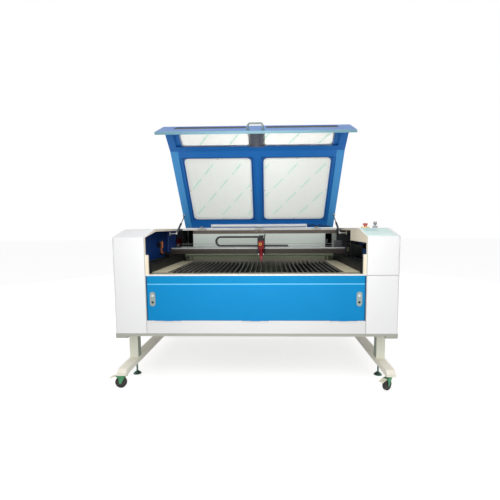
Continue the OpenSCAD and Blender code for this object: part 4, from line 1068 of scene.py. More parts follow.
@dataclass
class Studio:
    """Camera at the photograph's viewpoint, soft lamps, a pale floor and a white surround."""

    machine: Machine
    eye: Point = (88.5, -2424.8, 1058.0)
    yaw: float = 1.56
    pitch: float = -5.54
    roll: float = -0.32
    focal_px: float = 369.7
    centre_px: tuple[float, float] = (258.42, 263.46)
    sensor_mm: float = 36.0
    sight: float = 100.0
    aim: Point = (0.0, 500.0, 800.0)
    rear_lamp: Point = (4600.0, 3900.0, 1900.0)
    surround_light: float = 0.46
    surround_gloss: float = 0.8
    floor_half: float = 30.0
    floor_colour: str = "#CECECE"
    floor_glow: float = 0.68

    def camera(self) -> None:
        """Places the camera."""
        data = bpy.data.cameras.new("photo_camera")
        data.sensor_width = self.sensor_mm
        data.lens = self.focal_px / PHOTO_PX * self.sensor_mm
        data.shift_x = -(self.centre_px[0] - PHOTO_PX / 2) / PHOTO_PX
        data.shift_y = (self.centre_px[1] - PHOTO_PX / 2) / PHOTO_PX
        data.clip_end = self.sight
        camera = bpy.data.objects.new("photo_camera", data)
        bpy.context.scene.collection.objects.link(camera)
        turn = (Matrix.Rotation(math.radians(self.yaw), 4, "Z")
                @ Matrix.Rotation(math.radians(90.0 + self.pitch), 4, "X")
                @ Matrix.Rotation(math.radians(self.roll), 4, "Z"))
        camera.matrix_world = Matrix.Translation(self.machine.at(*self.eye)) @ turn
        bpy.context.scene.camera = camera

    def lamps(self) -> list[Lamp]:
        """Lists the lamps.

        Returns:
            Four in front and above, three from behind and one that shines into the chamber.
        """
        return [
            Lamp("key", (-1800.0, -3600.0, 3400.0), self.aim, 3.0, 25.0),
            Lamp("fill", (2600.0, -3200.0, 2400.0), self.aim, 3.0, 22.0),
            Lamp("over", (0.0, 300.0, 4200.0), self.aim, 3.0, 17.0),
            Lamp("low", (0.0, -3400.0, 500.0), (0.0, 500.0, 1450.0), 2.4, 49.0),
            *(Lamp("rear_" + side.word, side.mirror(self.rear_lamp), self.aim, 3.0, 34.0) for side in Side),
            Lamp("behind", (0.0, 4500.0, 2750.0), (0.0, 450.0, 1720.0), 1.4, 12.0),
            Lamp("chamber", (0.0, -500.0, 1480.0), (0.0, 1000.0, 880.0), 1.0, 8.5),
        ]

    def surround(self) -> None:
        """Makes a world that looks white to the camera and lights the machine evenly."""
        world = bpy.data.worlds.new("white_surround")
        bpy.context.scene.world = world
        world.use_nodes = True
        tree = world.node_tree
        tree.nodes.clear()
        rays = add(tree, "ShaderNodeLightPath").outputs
        shown = Field(tree, rays["Is Camera Ray"]).op("MAXIMUM", rays["Is Transmission Ray"])
        shown = shown.op("MAXIMUM", Field(tree, rays["Is Glossy Ray"]) * self.surround_gloss)
        level = add(tree, "ShaderNodeMapRange", {0: shown, 1: 0.0, 2: 1.0, 3: self.surround_light, 4: 1.0})
        back = add(tree, "ShaderNodeBackground", {"Color": linear(WHITE), "Strength": level.outputs[0]})
        add(tree, "ShaderNodeOutputWorld", {0: back.outputs[0]})

    def floor(self) -> None:
        """Lays a pale floor that keeps the machine's shadow."""
        mesh = bpy.data.meshes.new("floor")
        half = self.floor_half
        corners = [(-half, -half, 0.0), (half, -half, 0.0), (half, half, 0.0), (-half, half, 0.0)]
        mesh.from_pydata(corners, [], [(0, 1, 2, 3)])
        plane = bpy.data.objects.new("floor", mesh)
        bpy.context.scene.collection.objects.link(plane)
        # matt studio floor that glows a little to the camera: near white, with a soft shadow
        material = bpy.data.materials.new("pale_floor")
        material.use_nodes = True
        tree = material.node_tree
        tree.nodes.clear()
        rays = add(tree, "ShaderNodeLightPath").outputs
        shown = Field(tree, rays["Is Camera Ray"]).op("MAXIMUM", rays["Is Glossy Ray"])
        glow = add(tree, "ShaderNodeEmission", {"Color": linear(WHITE), "Strength": shown * self.floor_glow})
        matt = add(tree, "ShaderNodeBsdfDiffuse", {"Color": linear(self.floor_colour)})
        both = add(tree, "ShaderNodeAddShader", {0: glow.outputs[0], 1: matt.outputs[0]})
        add(tree, "ShaderNodeOutputMaterial", {"Surface": both.outputs[0]})
        mesh.materials.append(material)
        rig.stage(plane)

    def build(self) -> None:
        """Sets up the camera, the lamps, the surround and the floor."""
        self.camera()
        for lamp in self.lamps():
            lamp.hang(self.machine)
        self.surround()
        self.floor()


# Tools that make pieces


@dataclass(frozen=True)
class Spot:
    """One place of a repeated shape: its point, the way its X axis runs and the way its Z axis points."""

    place: Vector
    along: Vector
    up: Vector

    def turn(self) -> Point:
        """Gives the shape's rotation.

        Returns:
            Its Euler angles.
        """
        x = self.along.normalized()
        y = self.up.cross(x).normalized()
        return tuple(Matrix((x, y, x.cross(y))).transposed().to_euler())


class Repeater:
    """Repeats a small shape over spots by a node tree, and turns the result into a plain mesh."""

    def __init__(self) -> None:
        """Builds the tree: points, a shape, a material; instances, realised and painted."""
        tree = bpy.data.node_groups.new("repeat_on_points", "GeometryNodeTree")
        face = tree.interface
        face.new_socket("Points", in_out="INPUT", socket_type="NodeSocketGeometry")
        self.shape_id = face.new_socket("Shape", in_out="INPUT", socket_type="NodeSocketObject").identifier
        self.stuff_id = face.new_socket("Stuff", in_out="INPUT", socket_type="NodeSocketMaterial").identifier
        face.new_socket("Geometry", in_out="OUTPUT", socket_type="NodeSocketGeometry")
        given = add(tree, "NodeGroupInput")
        turn = add(tree, "GeometryNodeInputNamedAttribute", {"Name": "turn"}, data_type="FLOAT_VECTOR")
        shape = add(tree, "GeometryNodeObjectInfo", {"Object": given.outputs["Shape"]})
        many = add(tree, "GeometryNodeInstanceOnPoints", {"Points": given.outputs["Points"],
                   "Instance": shape.outputs["Geometry"], "Rotation": turn.outputs[0]})
        real = add(tree, "GeometryNodeRealizeInstances", {0: many.outputs[0]})
        done = add(tree, "GeometryNodeSetMaterial", {0: real.outputs[0], "Material": given.outputs["Stuff"]})
        add(tree, "NodeGroupOutput", {0: done.outputs[0]})
        self.tree = tree

    def repeat(self, name: str, spots: Sequence[Spot], shape: bpy.types.Mesh,
               stuff: bpy.types.Material) -> bpy.types.Object:
        """Repeats a shape.

        Args:
            name: the piece's name.
            spots: where the shape goes.
            shape: the shape, about its own origin.
            stuff: its material.
        Returns:
            The piece as a plain mesh object at the origin.
        """
        pattern = bpy.data.objects.new(name + "_pattern", shape)
        bpy.context.scene.collection.objects.link(pattern)
        points = bpy.data.meshes.new(name + "_spots")
        points.from_pydata([spot.place for spot in spots], [], [])
        turns = points.attributes.new("turn", "FLOAT_VECTOR", "POINT")
        turns.data.foreach_set("vector", [a for spot in spots for a in spot.turn()])
        holder = bpy.data.objects.new(name, points)
        bpy.context.scene.collection.objects.link(holder)
        modifier = holder.modifiers.new("repeat", "NODES")
        modifier.node_group = self.tree
        modifier[self.shape_id] = pattern
        modifier[self.stuff_id] = stuff
        graph = bpy.context.evaluated_depsgraph_get()
        mesh = bpy.data.meshes.new_from_object(holder.evaluated_get(graph))
        holder.modifiers.remove(modifier)
        holder.data = mesh
        bpy.data.objects.remove(pattern)
        LOG.info("%s: %d times", name, len(spots))
        return holder


def solid_boxes(name: str, boxes: Sequence[tuple[Vector, Vector]]) -> bpy.types.Mesh:
    """Makes a mesh of boxes.

    Args:
        name: the mesh's name.
        boxes: low and high corner of each box.
    Returns:
        The mesh.
    """
    shape = bmesh.new()
    for low, high in boxes:
        place = Matrix.Translation((low + high) / 2) @ Matrix.Diagonal((*(high - low), 1.0))
        bmesh.ops.create_cube(shape, size=1.0, matrix=place)
    mesh = bpy.data.meshes.new(name)
    shape.to_mesh(mesh)
    shape.free()
    return mesh


def screw_head(name: str, radius: float, height: float, sides: int = 12,
               top_share: float = 0.72) -> bpy.types.Mesh:
    """Makes a low round screw head that stands up along Z, its foot at the origin.

    Args:
        name: the mesh's name.
        radius: radius at the foot.
        height: height of the head.
        sides: sides of the round.
        top_share: radius at the top, as a share of the foot's.
    Returns:
        The mesh.
    """
    shape = bmesh.new()
    bmesh.ops.create_cone(shape, cap_ends=True, segments=sides, radius1=radius, radius2=radius * top_share,
                          depth=height, matrix=Matrix.Translation((0.0, 0.0, height / 2)))
    mesh = bpy.data.meshes.new(name)
    shape.to_mesh(mesh)
    shape.free()
    return mesh


def tube(name: str, path: Sequence[Vector], radius: float, sides: int = 12) -> bpy.types.Object:
    """Sweeps a round tube along a path.

    Args:
        name: the piece's name.
        path: the points it follows.
        radius: its radius.
        sides: sides of the round.
    Returns:
        The tube's object.
    """
    rings: list[Point] = []
    faces: list[tuple[int, ...]] = []
    last = len(path) - 1
    side = UP
    for i, point in enumerate(path):
        along = (path[min(i + 1, last)] - path[max(i - 1, 0)]).normalized()
        lean = side.dot(along)
        side = (side - along * lean).normalized() if abs(lean) < PARALLEL else along.orthogonal()
        other = along.cross(side)
        for k in range(sides):
            turn = 2 * math.pi * k / sides
            rings.append(tuple(point + (side * math.cos(turn) + other * math.sin(turn)) * radius))
    for near in range(0, last * sides, sides):
        far = near + sides
        for k in range(sides):
            after = (k + 1) % sides
            faces.append((near + k, near + after, far + after, far + k))
    faces += [tuple(reversed(range(sides))), tuple(last * sides + k for k in range(sides))]
    mesh = bpy.data.meshes.new(name)
    mesh.from_pydata(rings, [], faces)
    mesh.shade_smooth()
    made = bpy.data.objects.new(name, mesh)
    bpy.context.scene.collection.objects.link(made)
    LOG.info("%s: a tube along %d points", name, len(path))
    return made


def length_of(path: Sequence[Vector]) -> float:
    """Measures a path."""
    return sum((b - a).length for a, b in zip(path, path[1:]))


@dataclass
class DragChain:
    """A drag chain of open links: a run to the moving end, a half turn, and a run to the fixed end.

    The far length is how far off the ends of the bend's blend lie, so that all of the bend moves as one.
    """

    name: str
    node: str
    loop: Vector
    run: Vector
    radius: float
    upper: float
    lower: float
    bodies: tuple[str, str]
    pitch: float = 0.0195
    link: Point = (0.0205, 0.026, 0.016)
    wall: float = 0.0026
    bar_share: float = 0.45
    far: float = 20.0

    def shape(self) -> bpy.types.Mesh:
        """Makes one link: two side plates and two bars.

        Returns:
            The link's mesh.
        """
        x, y, z = (v / 2 for v in self.link)
        t = self.wall
        bar = x * self.bar_share
        plates = [(Vector((-x, low, -z)), Vector((x, low + t, z))) for low in (-y, y - t)]
        bars = [(Vector((-bar, -y, low)), Vector((bar, y, low + t))) for low in (-z, z - t)]
        return solid_boxes(self.name + "_link", plates + bars)

    def straight(self, rise: Vector, length: float) -> list[Spot]:
        """Spaces links along a straight run.

        Args:
            rise: from the loop's centre to the run.
            length: the run's length.
        Returns:
            The links' places.
        """
        start = self.loop + rise
        count = round(length / self.pitch)
        return [Spot(start + self.run * (self.pitch * (i + 0.5)), self.run, UP) for i in range(count)]

    def bend(self) -> list[Spot]:
        """Spaces links round the half turn.

        Returns:
            The links' places.
        """
        steps = round(math.pi * self.radius / self.pitch)
        spots = []
        for i in range(steps):
            turn = math.pi * (i + 0.5) / steps
            out = UP * math.cos(turn) - self.run * math.sin(turn)
            along = self.run * math.cos(turn) + UP * math.sin(turn)
            spots.append(Spot(self.loop + out * self.radius, along, out))
        return spots

    def build(self, repeater: Repeater, stuff: bpy.types.Material) -> None:
        """Builds the three pieces and lets them follow the two bodies.

        Args:
            repeater: the tool that repeats the link.
            stuff: the links' material.
        """
        rise = UP * self.radius
        upper, lower, far = self.run * self.upper, self.run * self.lower, self.run.cross(UP) * self.far
        shape = self.shape()
        parts = {
            "upper": (self.straight(rise, self.upper), self.loop - upper, self.loop + upper),
            "lower": (self.straight(-rise, self.lower), self.loop + lower, self.loop - lower),
            "bend": (self.bend(), self.loop - far, self.loop + far),
        }
        for part, (spots, start, end) in parts.items():
            piece = repeater.repeat(f"{self.name}_{part}", spots, shape, stuff)
            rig.blend(piece, *self.bodies, start, end)
            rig.slot(piece, "chain_plastic")
            if part == "bend":
                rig.replaces(piece, self.node)


# Sub-assemblies


@dataclass
class Dresser:
    """Gives each carried-over solid its finish."""

    nodes: dict[str, bpy.types.Object]
    made: dict[str, bpy.types.Material] = field(default_factory=dict)

    def stuff(self, finish: Finish) -> bpy.types.Material:
        """Gives a finish's material, made once.

        Args:
            finish: the finish.
        Returns:
            Its material.
        """
        if finish.name not in self.made:
            self.made[finish.name] = finish.make()
        return self.made[finish.name]

    def dress(self, finish: Finish, *names: str) -> None:
        """Puts a finish on solids.

        Args:
            finish: the finish.
            names: the solids' names.
        """
        material = self.stuff(finish)
        for name in names:
            slots = self.nodes[name].data.materials
            slots.clear()
            slots.append(material)
        LOG.info("%s on %s", finish.name, ", ".join(names))


@dataclass
class Cabinet:
    """Covers, walls, front door, controls and stand; sizes in millimetres about the machine's axes."""

    machine: Machine
    dresser: Dresser
    painted_shade_y: float = 880.0
    shaded_panel_x: float = 636.0
    deep_shade_x: float = 736.0
    door_highlight: float = 8.0
    panel_run: Point = (0.0, 242.0, 54.0)
    switch_split: float = 843.0
    corners: tuple[str, ...] = ("fl", "fr", "rl", "rr")

    def covers(self) -> None:
        """Dresses the sheet covers, the walls inside them and the front."""
        m, put = self.machine, self.dresser.dress
        painted_shade = m.at(0.0, self.painted_shade_y, 0.0)
        # satin powder coat on folded steel: an even white with soft, wide highlights and a faint orange peel
        # with painted shade in near black on the inside faces that look forward from the rear
        put(CabinetCoat("white_powder_coat", "#F1F1F1", "#EBEBEC", middle=m.middle, front=m.front),
            "left_cabinet", "right_cabinet", "right_lower_cover")
        # the same coat outside, with painted shade in near black over all of the tube housing's inside
        put(CabinetCoat("white_housing_coat", "#F1F1F1", "#EBEBEC", roughness=0.7, specular=0.05,
                        middle=m.middle, front=m.front, inside="#101114"), "rear_cover")
        # grey powder coat: duller than the covers, slightly uneven in tone
        put(Finish("grey_powder_coat", "#AFB0A6", "#A1A298", roughness=0.48), "base_frame")
        # ivory powder coat on square tube: warm, half matt, with painted shade on the inner sides
        put(PostCoat("ivory_powder_coat", "#E6E6D6", "#D9D9C8", roughness=0.45, middle=m.middle),
            "stand_posts")
        # white powder coat on the runners: clean and half matt
        put(Finish("runner_powder_coat", "#F6F1E2", "#EDE7D6", roughness=0.45), "foot_runners")
        # cream paint on the chamber's walls: warm and matt, dulled by smoke, with painted shade at the rear
        put(ChamberWall("cream_wall_paint", "#F3E7CF", "#E6DAC3", roughness=0.55, mottle_mm=120.0,
                        painted_shade_y=painted_shade.y), "inner_walls")
        # sprayed grey-white paint: chalky, with hardly any highlight; painted shadow strip and painted shade at right
        put(WallPaint("grey_white_paint", "#D4DDD4", "#C6CFC6", roughness=0.55,
                      shaded_panel_x=m.at(self.shaded_panel_x, 0.0, 0.0).x, deep_shade_x=m.at(self.deep_shade_x, 0.0, 0.0).x), "rear_wall")
        # blue powder coat: saturated and satin, with a long soft sheen
        # with painted shade where the sheet turns in at the ends
        put(RailPaint("blue_front_coat", "#068AC4", "#0582BA", roughness=0.42, specular=0.12,
                      middle=m.middle), "front_panels")
        # the same coat on the door: a painted highlight along its top fold, painted shade at the ends
        put(DoorCoat("blue_door_coat", "#0A8BC9", "#0983BF", roughness=0.42, specular=0.12, middle=m.middle,
                     fold_highlight_z=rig.box("front_door")[1].z - self.door_highlight * MM), "front_door")
        # hot-dip zinc on sheet: cool grey with large soft spangles
        put(Finish("galvanised_sheet", "#8A9092", "#767C7E", metallic=0.8, grain_mm=9.0, bump=0.03),
            "debris_tray")

    def controls(self) -> None:
        """Dresses the panel, the switches and the locks."""
        m, put = self.machine, self.dresser.dress
        low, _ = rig.box("control_panel")
        run = Vector(self.panel_run).normalized()
        split = m.at(self.switch_split, 0.0, 0.0)
        # screen-printed polyester film: pale teal, half matt, with flat printed fields
        put(PanelFilm("membrane_panel", "#CFE8E1", "#D9EDE8", roughness=0.5, low=tuple(low), run=tuple(run),
                      mottle_mm=40.0, mottle=0.9), "control_panel")
        # moulded plastic: a pale yellow ring and a grey lock body, evenly coloured and half gloss
        put(SplitPlastic("switch_mouldings", "#DCC67A", "#D2BB6C", split_x=split.x, other="#9A9FA1"),
            "switch_bodies")
        # glossy moulded plastic: small sharp highlights on a dome
        put(Finish("red_button_plastic", "#B9493C", "#A83E33", roughness=0.28), "estop_button")
        # worn nickel plate: a dark grey metal with a soft gloss
        put(Finish("nickel_key", "#6E7375", "#5A5F61", metallic=0.8, roughness=0.35), "laser_key")
        # brushed chrome: upright lines that stretch its highlights; they are drawn 0.8 mm wide, coarser than
        # real, so that they show
        put(LockPlate("satin_chrome", "#93A09C", "#7E8B87", metallic=0.6, roughness=0.34, grain_mm=0.8,
                      stretch=(1.0, 1.0, 12.0), middle=m.middle), "door_locks")
        # polished chrome: brighter than the plates round them
        put(Finish("polished_chrome", "#CFD6D6", "#BAC2C2", metallic=0.8, roughness=0.2, mottle_mm=8.0),
            "left_lock_button", "right_lock_button")

    def stand(self) -> None:
        """Dresses the casters and the levelling feet."""
        put = self.dresser.dress
        # passivated zinc: a blotchy green metal
        put(Finish("green_zinc", "#4E9468", "#3C7C55", metallic=0.55, roughness=0.36, mottle_mm=18.0),
            *(f"caster_fork_{k}" for k in self.corners))
        # moulded rubber: near black, matt and dusty
        put(Finish("black_rubber", "#221C1A", "#2E2724", roughness=0.6, mottle_mm=22.0),
            *(f"caster_wheel_{k}" for k in self.corners))
        # moulded nylon: cream and half gloss
        put(Finish("cream_pedal", "#E4DFC9", "#D5D0BA", roughness=0.4, mottle_mm=20.0),
            "brake_pedal_fl", "brake_pedal_fr")
        # zinc plate on turned steel: greenish grey metal with darker patches
        put(Finish("zinc_plate", "#54746A", "#33493F", metallic=0.9, roughness=0.3, mottle_mm=16.0,
                   mottle=0.9), *(f"level_foot_{k}" for k in self.corners))

    def build(self) -> None:
        """Dresses the covers, the controls and the stand."""
        self.covers()
        self.controls()
        self.stand()


@dataclass
class Lid:
    """The folded lid with its panes, handle, lamp and struts; sizes in millimetres.

    The hinge, the strut's foot and the names in _y lie about the machine's axes. The other places lie about
    the hinge of the closed lid, where Y runs backwards and Z outwards.
    """

    machine: Machine
    dresser: Dresser
    repeater: Repeater
    open_deg: float = 50.9
    hinge: tuple[float, float] = (1088.0, 1047.5)
    hem_y: float = 186.0
    smoked_y: float = 430.0
    leaf_y: float = 1030.0
    wall_leaf_y: float = 1000.0
    strut_foot: Point = (676.0, 645.0, 1011.0)
    strut_top: Point = (676.0, -174.0, -16.0)
    window: tuple[float, float, float, float] = (62.5, 584.5, 118.0, 715.0)
    pane_deep: float = 12.9
    screw_lap: float = 5.0
    screw_r: float = 4.5
    screw_height: float = 2.2
    bead_width: float = 12.0
    bead_height: float = 1.2
    bead_corner: float = 25.0
    bead_steps: int = 8
    lead_start: Point = (448.8, -43.0, -4.3)
    lead_end: float = 662.0
    lead_rise: float = 16.0
    lead_wave: float = 9.0
    lead_waves: int = 3
    lead_steps: int = 80
    lead_d: float = 8.0

    def at(self, x: float, y: float, z: float) -> Vector:
        """Turns the closed lid's millimetres about its hinge into the frame, with the lid open.

        Args:
            x: from the machine's middle.
            y: backwards from the hinge.
            z: outwards from the hinge.
        Returns:
            The point in the frame's metres.
        """
        turn = math.radians(self.open_deg)
        cos, sin = math.cos(turn), math.sin(turn)
        return self.machine.at(x, self.hinge[0] + y * cos + z * sin, self.hinge[1] - y * sin + z * cos)

    def way(self, y: float, z: float) -> Vector:
        """Turns a direction across the closed lid into the frame; a length of one stays one."""
        return self.at(0.0, y / MM, z / MM) - self.at(0.0, 0.0, 0.0)

    def dress(self) -> None:
        """Dresses the lid and the struts."""
        m, put = self.machine, self.dresser.dress
        hinge = tuple(self.at(0.0, 0.0, 0.0))
        run, out = tuple(self.way(-1.0, 0.0)), tuple(self.way(0.0, 1.0))
        planes = (self.hem_y, self.smoked_y, self.leaf_y, self.wall_leaf_y)
        hem, smoked, leaf, wall_leaf = (m.at(0.0, y, 0.0).y for y in planes)
        # blue powder coat on folded sheet: satin, with painted highlights on the lips and painted shade in the folds
        # painted shade also between the slope panes and along the large panes' step
        put(LidCoat("blue_lid_coat", "#1F72C2", "#1B67B4", roughness=0.36, middle=m.middle, hinge=hinge,
                    normal=out, run=run, hem_y=hem), "lid_shell")
        # acrylic sheet with its protective film left on: milky, faintly creased, with pale green dashes
        put(FilmAcrylic("film_on_acrylic", "#F4F4F0", "#EFEFEA", roughness=0.6, specular=0.2, bump=0.0,
                        origin=hinge, run=run, smoked_y=smoked), "lid_panes")
        # bead-blasted stainless steel: a soft grey metal
        put(Finish("satin_handle", "#6F7A74", "#57625C", metallic=1.0, roughness=0.3), "lid_handle")
        # extruded aluminium with a milky plastic strip: pale grey body, white underside
        put(LampFinish("lamp_profile", "#C3C8CA", "#B2B8BA", roughness=0.4, down=tuple(self.way(0.0, -1.0))),
            "lamp_bar")
        # bright zinc plate: light grey metal with a cool gloss, and painted shadow in brown on the rear leaves
        put(BracketPlate("bright_zinc", "#C2C7C8", "#A9AFB1", metallic=0.4, roughness=0.36, paint_y=leaf),
            "lid_brackets")
        # the same plate on the cabinet, dulled by handling: warmer and less glossy, with the same painted shadow
        put(BracketPlate("zinc_and_paint", "#A9A8A0", "#97968E", metallic=0.4, roughness=0.4,
                         paint_y=wall_leaf), "fixed_brackets")
        for side in Side:
            ends = (tuple(m.at(*side.mirror(self.strut_foot))), tuple(self.at(*side.mirror(self.strut_top))))
            # stove-enamelled tube: black and glossy, with narrow highlights and pale zinc ends
            put(StrutLacquer(side.word + "_strut_lacquer", "#17181A", "#1F2022", roughness=0.25, ends=ends),
                side.word + "_strut_cylinder")
            # nitrided steel rod: dark grey metal with a sharp highlight
            put(StrutLacquer(side.word + "_nitrided_rod", "#26282B", "#313438", metallic=0.9, roughness=0.22,
                             ends=ends), side.word + "_strut_rod")

    def screws(self) -> None:
        """Sets screws at the corners and half-way along the edges of the large windows' panes."""
        x0, x1, s0, s1 = self.window
        columns = (x0 - self.screw_lap, (x0 + x1) / 2, x1 + self.screw_lap)
        rows = (s0 - self.screw_lap, s1 + self.screw_lap)
        places = [(x, s) for x in columns for s in rows] + [(x, (s0 + s1) / 2) for x in columns[::2]]
        inward = self.way(0.0, -1.0)
        spots = [Spot(self.at(side.value * x, -s, self.pane_deep), ACROSS, inward)
                 for side in Side for x, s in places]
        # zinc-plated pan heads: small bright dots
        stuff = self.dresser.stuff(Finish("zinc_screw", "#D5D8D9", "#C3C7C9", metallic=0.9, roughness=0.25,
                                          mottle_mm=4.0))
        head = screw_head("pan_head", self.screw_r * MM, self.screw_height * MM)
        piece = self.repeater.repeat("window_screws", spots, head, stuff)
        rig.ride(piece, "lid")
        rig.slot(piece, "zinc_plate")

    def bead_ring(self, side: Side, grow: float, height: float) -> list[Vector]:
        """Gives one edge of a bead round a large window.

        Args:
            side: whose window it is.
            grow: how far outside the window's edge it runs.
            height: how far it stands off the pane, towards the chamber.
        Returns:
            The edge's points, corner after corner.
        """
        x0, x1, s0, s1 = self.window
        corner, steps = self.bead_corner, self.bead_steps
        points = []
        for quarter, (sign_x, sign_s) in enumerate(((1, 1), (-1, 1), (-1, -1), (1, -1))):
            for part in range(steps + 1):
                turn = math.radians(90.0 * (quarter + part / steps))
                u = sign_x * ((x1 - x0) / 2 - corner) + math.cos(turn) * (corner + grow)
                v = sign_s * ((s1 - s0) / 2 - corner) + math.sin(turn) * (corner + grow)
                points.append(self.at(side.value * (x0 + x1) / 2 + u, -(s0 + s1) / 2 - v,
                                      self.pane_deep - height))
        return points

    def beads(self) -> None:
        """Lays a thin white bead round each large pane, on the side towards the chamber."""
        wide, high = self.bead_width, self.bead_height
        # white silicone bead: soft and half gloss, a thin pale line along the film's edge
        stuff = self.dresser.stuff(Finish("silicone_bead", "#EFF1F0", "#E6E9E8", roughness=0.45,
                                          mottle_mm=60.0))
        for side in Side:
            shape = bmesh.new()
            rings = [[shape.verts.new(point) for point in self.bead_ring(side, grow, height)]
                     for grow, height in ((0.0, 0.0), (0.0, high), (wide, high), (wide, 0.0))]
            for a, b in zip(rings, rings[1:] + rings[:1]):
                for k in range(len(a)):
                    shape.faces.new((a[k], a[k - 1], b[k - 1], b[k]))
            bmesh.ops.recalc_face_normals(shape, faces=list(shape.faces))
            mesh = bpy.data.meshes.new(side.word + "_pane_bead")
            shape.to_mesh(mesh)
            shape.free()
            mesh.materials.append(stuff)
            piece = bpy.data.objects.new(mesh.name, mesh)
            bpy.context.scene.collection.objects.link(piece)
            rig.ride(piece, "lid")
            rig.slot(piece, "hose_rubber")
            LOG.info("%s on the lid", mesh.name)

    def lead(self) -> None:
        """Runs the lamp's lead in a flat wave along the rear lip, out to the hinge side."""
        x, y, z = self.lead_start
        path = []
        for i in range(self.lead_steps + 1):
            t = i / self.lead_steps
            wave = self.lead_wave * math.sin(2 * math.pi * self.lead_waves * t) * math.sin(math.pi * t)
            path.append(self.at(x + (self.lead_end - x) * t, y + wave + self.lead_rise * t * t, z))
        thick = self.lead_d * MM
        piece = tube("lamp_lead_cable", path, thick / 2)
        # PVC cable sheath: dark navy, half matt
        stuff = self.dresser.stuff(Finish("navy_cable", "#0B0E14", "#10141B", roughness=0.6))
        piece.data.materials.append(stuff)
        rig.ride(piece, "lid")
        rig.replaces(piece, "lamp_lead")
        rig.slot(piece, "hose_rubber")
        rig.cord(piece, exit=path[0], length=length_of(path), diameter=thick, far_end="object", lay="taut",
                path=path)

    def build(self) -> None:
        """Dresses the lid and adds its screws, beads and lead."""
        self.dress()
        self.screws()
        self.beads()
        self.lead()


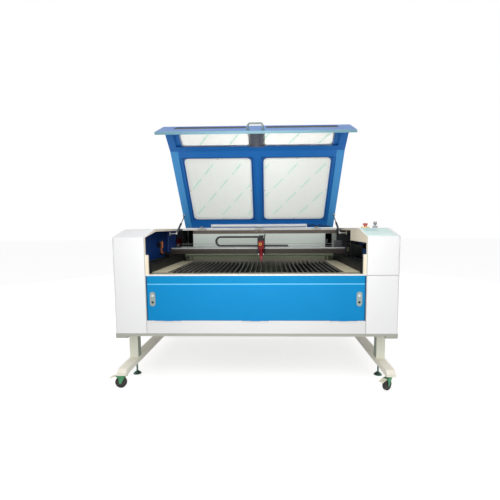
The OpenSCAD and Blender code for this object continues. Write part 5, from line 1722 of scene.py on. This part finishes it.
@dataclass
class Gantry:
    """The table, rails, gantry, head and optics; sizes in millimetres about the machine's axes.

    The hose's knots lie about the head's axis and shape an arch. The drop lists heights below its end.
    """

    machine: Machine
    dresser: Dresser
    repeater: Repeater
    head_x: float = 29.0
    head_y: float = 585.5
    head_face: float = 25.2
    mirror_x: float = -790.0
    tray_wall: tuple[float, float] = (822.0, 480.0)
    rear_rail: float = 30.0
    rear_rim: float = 20.0
    x_loop: Point = (-313.0, 687.0, 943.0)
    x_bend: float = 37.0
    x_upper_lap: float = 10.0
    x_lower_end: float = 250.0
    y_loop: Point = (812.0, 400.0, 930.0)
    y_bend: float = 20.0
    y_upper_end: float = 640.0
    y_lower_end: float = 960.0
    hose_knots: tuple[Point, ...] = ((-8.0, 101.5, 980.0), (55.0, 101.5, 980.0), (27.3, 0.0, 1055.0),
                                     (27.3, 0.0, 940.0))
    hose_drop: tuple[float, ...] = (922.0, 905.0, 888.0, 871.3)
    hose_steps: int = 40
    hose_d: float = 8.0

    def dress(self) -> None:
        """Dresses what moves and what it works over."""
        m, put = self.machine, self.dresser.dress
        _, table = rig.box("table_frame")
        wall = m.at(*self.tray_wall, 0.0)
        head = m.at(self.head_x, self.head_y - self.head_face, 0.0)
        # enamelled angle steel, smoked: dull brown-grey with a green cast at the rear
        put(TablePaint("smoked_enamel", "#7C7868", "#68655A", roughness=0.5, mottle_mm=70.0, middle=m.middle,
                       rear_y=table.y - self.rear_rail * MM, rim_z=table.z - self.rear_rim * MM),
            "table_frame")
        # sheared strip steel with mill scale: near black, with a painted highlight in patches on the tips
        put(BladeSteel("sheared_blade_steel", "#17181A", "#0F1011", metallic=0.5, roughness=0.42,
                       specular=0.3), "knife_blades")
        # black anodised cover: dark, with a dull sheen
        put(TrayPaint("black_rail_cover", "#0C0D0E", "#121314", metallic=0.2, roughness=0.5, specular=0.25,
                      wall_x=wall.x, wall_y=wall.y), "y_rails")
        # extruded aluminium: dull grey on top, dark brown-black towards the operator; its long die lines are
        # drawn 1.6 mm wide, coarser than real, so that they show
        put(BeamAluminium("extruded_beam", "#9B9E9C", "#888B89", metallic=0.5, roughness=0.42,
                          stretch=(60.0, 1.0, 1.0)), "gantry_beam")
        # black anodised plate: dark and half matt
        put(Finish("black_truck", "#0E0F10", "#151618", metallic=0.3, roughness=0.45, specular=0.3),
            "gantry_trucks", "head_carriage")
        # enamelled motor and grey belt: black gloss beside a matt grey band
        put(BeltDrive("motor_and_belt", "#25272A", "#1D1F21", roughness=0.4, middle=m.middle), "x_drive")
        # oiled steel shaft: dull and greenish under smoke, with a low sheen
        put(Finish("oiled_shaft", "#565C4C", "#484E40", metallic=0.4, roughness=0.45), "y_drive_shaft")
        # orange anodised aluminium: a saturated metal with a satin sheen
        put(MirrorMount("orange_anodised", "#E07A2C", "#C9651D", metallic=0.35, roughness=0.36,
                        centre=tuple(m.at(self.mirror_x, self.head_y, 0.0))), "gantry_mirror")
        # dark red anodised aluminium: deep crimson with small bright edges
        put(HeadAnodised("red_anodised", "#7A0E16", "#5C080E", roughness=0.5, specular=0.2, middle=head.x,
                         face_y=head.y), "laser_head")
        # the lens tube: the same red, paler, as a painted highlight
        put(HeadAnodised("rubbed_red_anodised", "#A04C50", "#8C3A3F", roughness=0.45, specular=0.3,
                         middle=head.x, face_y=head.y), "lens_tube")
        # the tube's clamps in the same anodising, left whole: a dark red metal with a satin sheen
        put(Finish("dark_red_anodised", "#7E1D22", "#66151A", metallic=0.4, roughness=0.35), "tube_mounts")
        # drawn borosilicate glass: clear, with bright rims
        put(ClearFinish("drawn_glass", "#DCE4E6", "#D2DADD", roughness=0.08, bump=0.01), "laser_tube")

    def chains(self) -> None:
        """Builds both drag chains."""
        # glass-filled nylon links: black and dull, with lighter edges
        stuff = self.dresser.stuff(Finish("chain_nylon", "#141517", "#1D1E20", roughness=0.5, mottle_mm=12.0))
        at, x, y = self.machine.at, self.x_loop[0], self.y_loop[1]
        x_runs = ((self.head_x - self.x_upper_lap - x) * MM, (self.x_lower_end - x) * MM)
        y_runs = ((self.y_upper_end - y) * MM, (self.y_lower_end - y) * MM)
        DragChain("x_drag_chain", "x_chain", at(*self.x_loop), ACROSS, self.x_bend * MM, *x_runs,
                  ("gantry", "head")).build(self.repeater, stuff)
        DragChain("y_drag_chain", "y_chain", at(*self.y_loop), BACK, self.y_bend * MM, *y_runs,
                  ("machine", "gantry")).build(self.repeater, stuff)

    def hose(self) -> None:
        """Arches the air hose from the chain's end over the head and down its right side."""
        knots = [Vector((self.head_x + x, self.head_y + y, z)) for x, y, z in self.hose_knots]
        path = []
        for i in range(self.hose_steps + 1):
            t = i / self.hose_steps
            shares = ((1 - t) ** 3, 3 * t * (1 - t) ** 2, 3 * t * t * (1 - t), t ** 3)
            spot = sum((k * w for k, w in zip(knots, shares)), Vector((0.0, 0.0, 0.0)))
            path.append(self.machine.at(*spot))
        path += [self.machine.at(knots[-1].x, knots[-1].y, z) for z in self.hose_drop]
        thick = self.hose_d * MM
        piece = tube("air_hose_tube", path, thick / 2)
        # polyurethane hose: black, with a long highlight along its length
        stuff = self.dresser.stuff(Finish("black_hose", "#131416", "#1D1E20", roughness=0.4))
        piece.data.materials.append(stuff)
        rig.ride(piece, "head")
        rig.replaces(piece, "air_hose")
        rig.slot(piece, "hose_rubber")
        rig.cord(piece, exit=path[0], length=length_of(path), diameter=thick, far_end="object", lay="taut",
                stiffness="stiff", path=path)

    def build(self) -> None:
        """Dresses the motion parts and adds the chains and the hose."""
        self.dress()
        self.chains()
        self.hose()


def write_sizes(before: Sequence[Vector], after: Sequence[Vector]) -> None:
    """Writes the solids' box and the dressed machine's box.

    Args:
        before: the box right after loading.
        after: the box just before finishing.
    """
    with open(SIZE_FILE, "w") as out:
        json.dump({"cad": [list(map(float, v)) for v in before],
                   "visual": [list(map(float, v)) for v in after]}, out)


def main() -> None:
    """Builds the camera and light, then dresses each sub-assembly."""
    logging.basicConfig(level=logging.INFO, format="%(name)s: %(message)s")
    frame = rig.load()
    cad_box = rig.bounds()
    bpy.context.scene.view_settings.view_transform = "Standard"
    machine = Machine.read()
    Studio(machine).build()
    dresser = Dresser(frame["nodes"])
    repeater = Repeater()
    Cabinet(machine, dresser).build()
    Lid(machine, dresser, repeater).build()
    Gantry(machine, dresser, repeater).build()
    write_sizes(cad_box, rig.bounds())


if __name__ == "__main__":
    main()
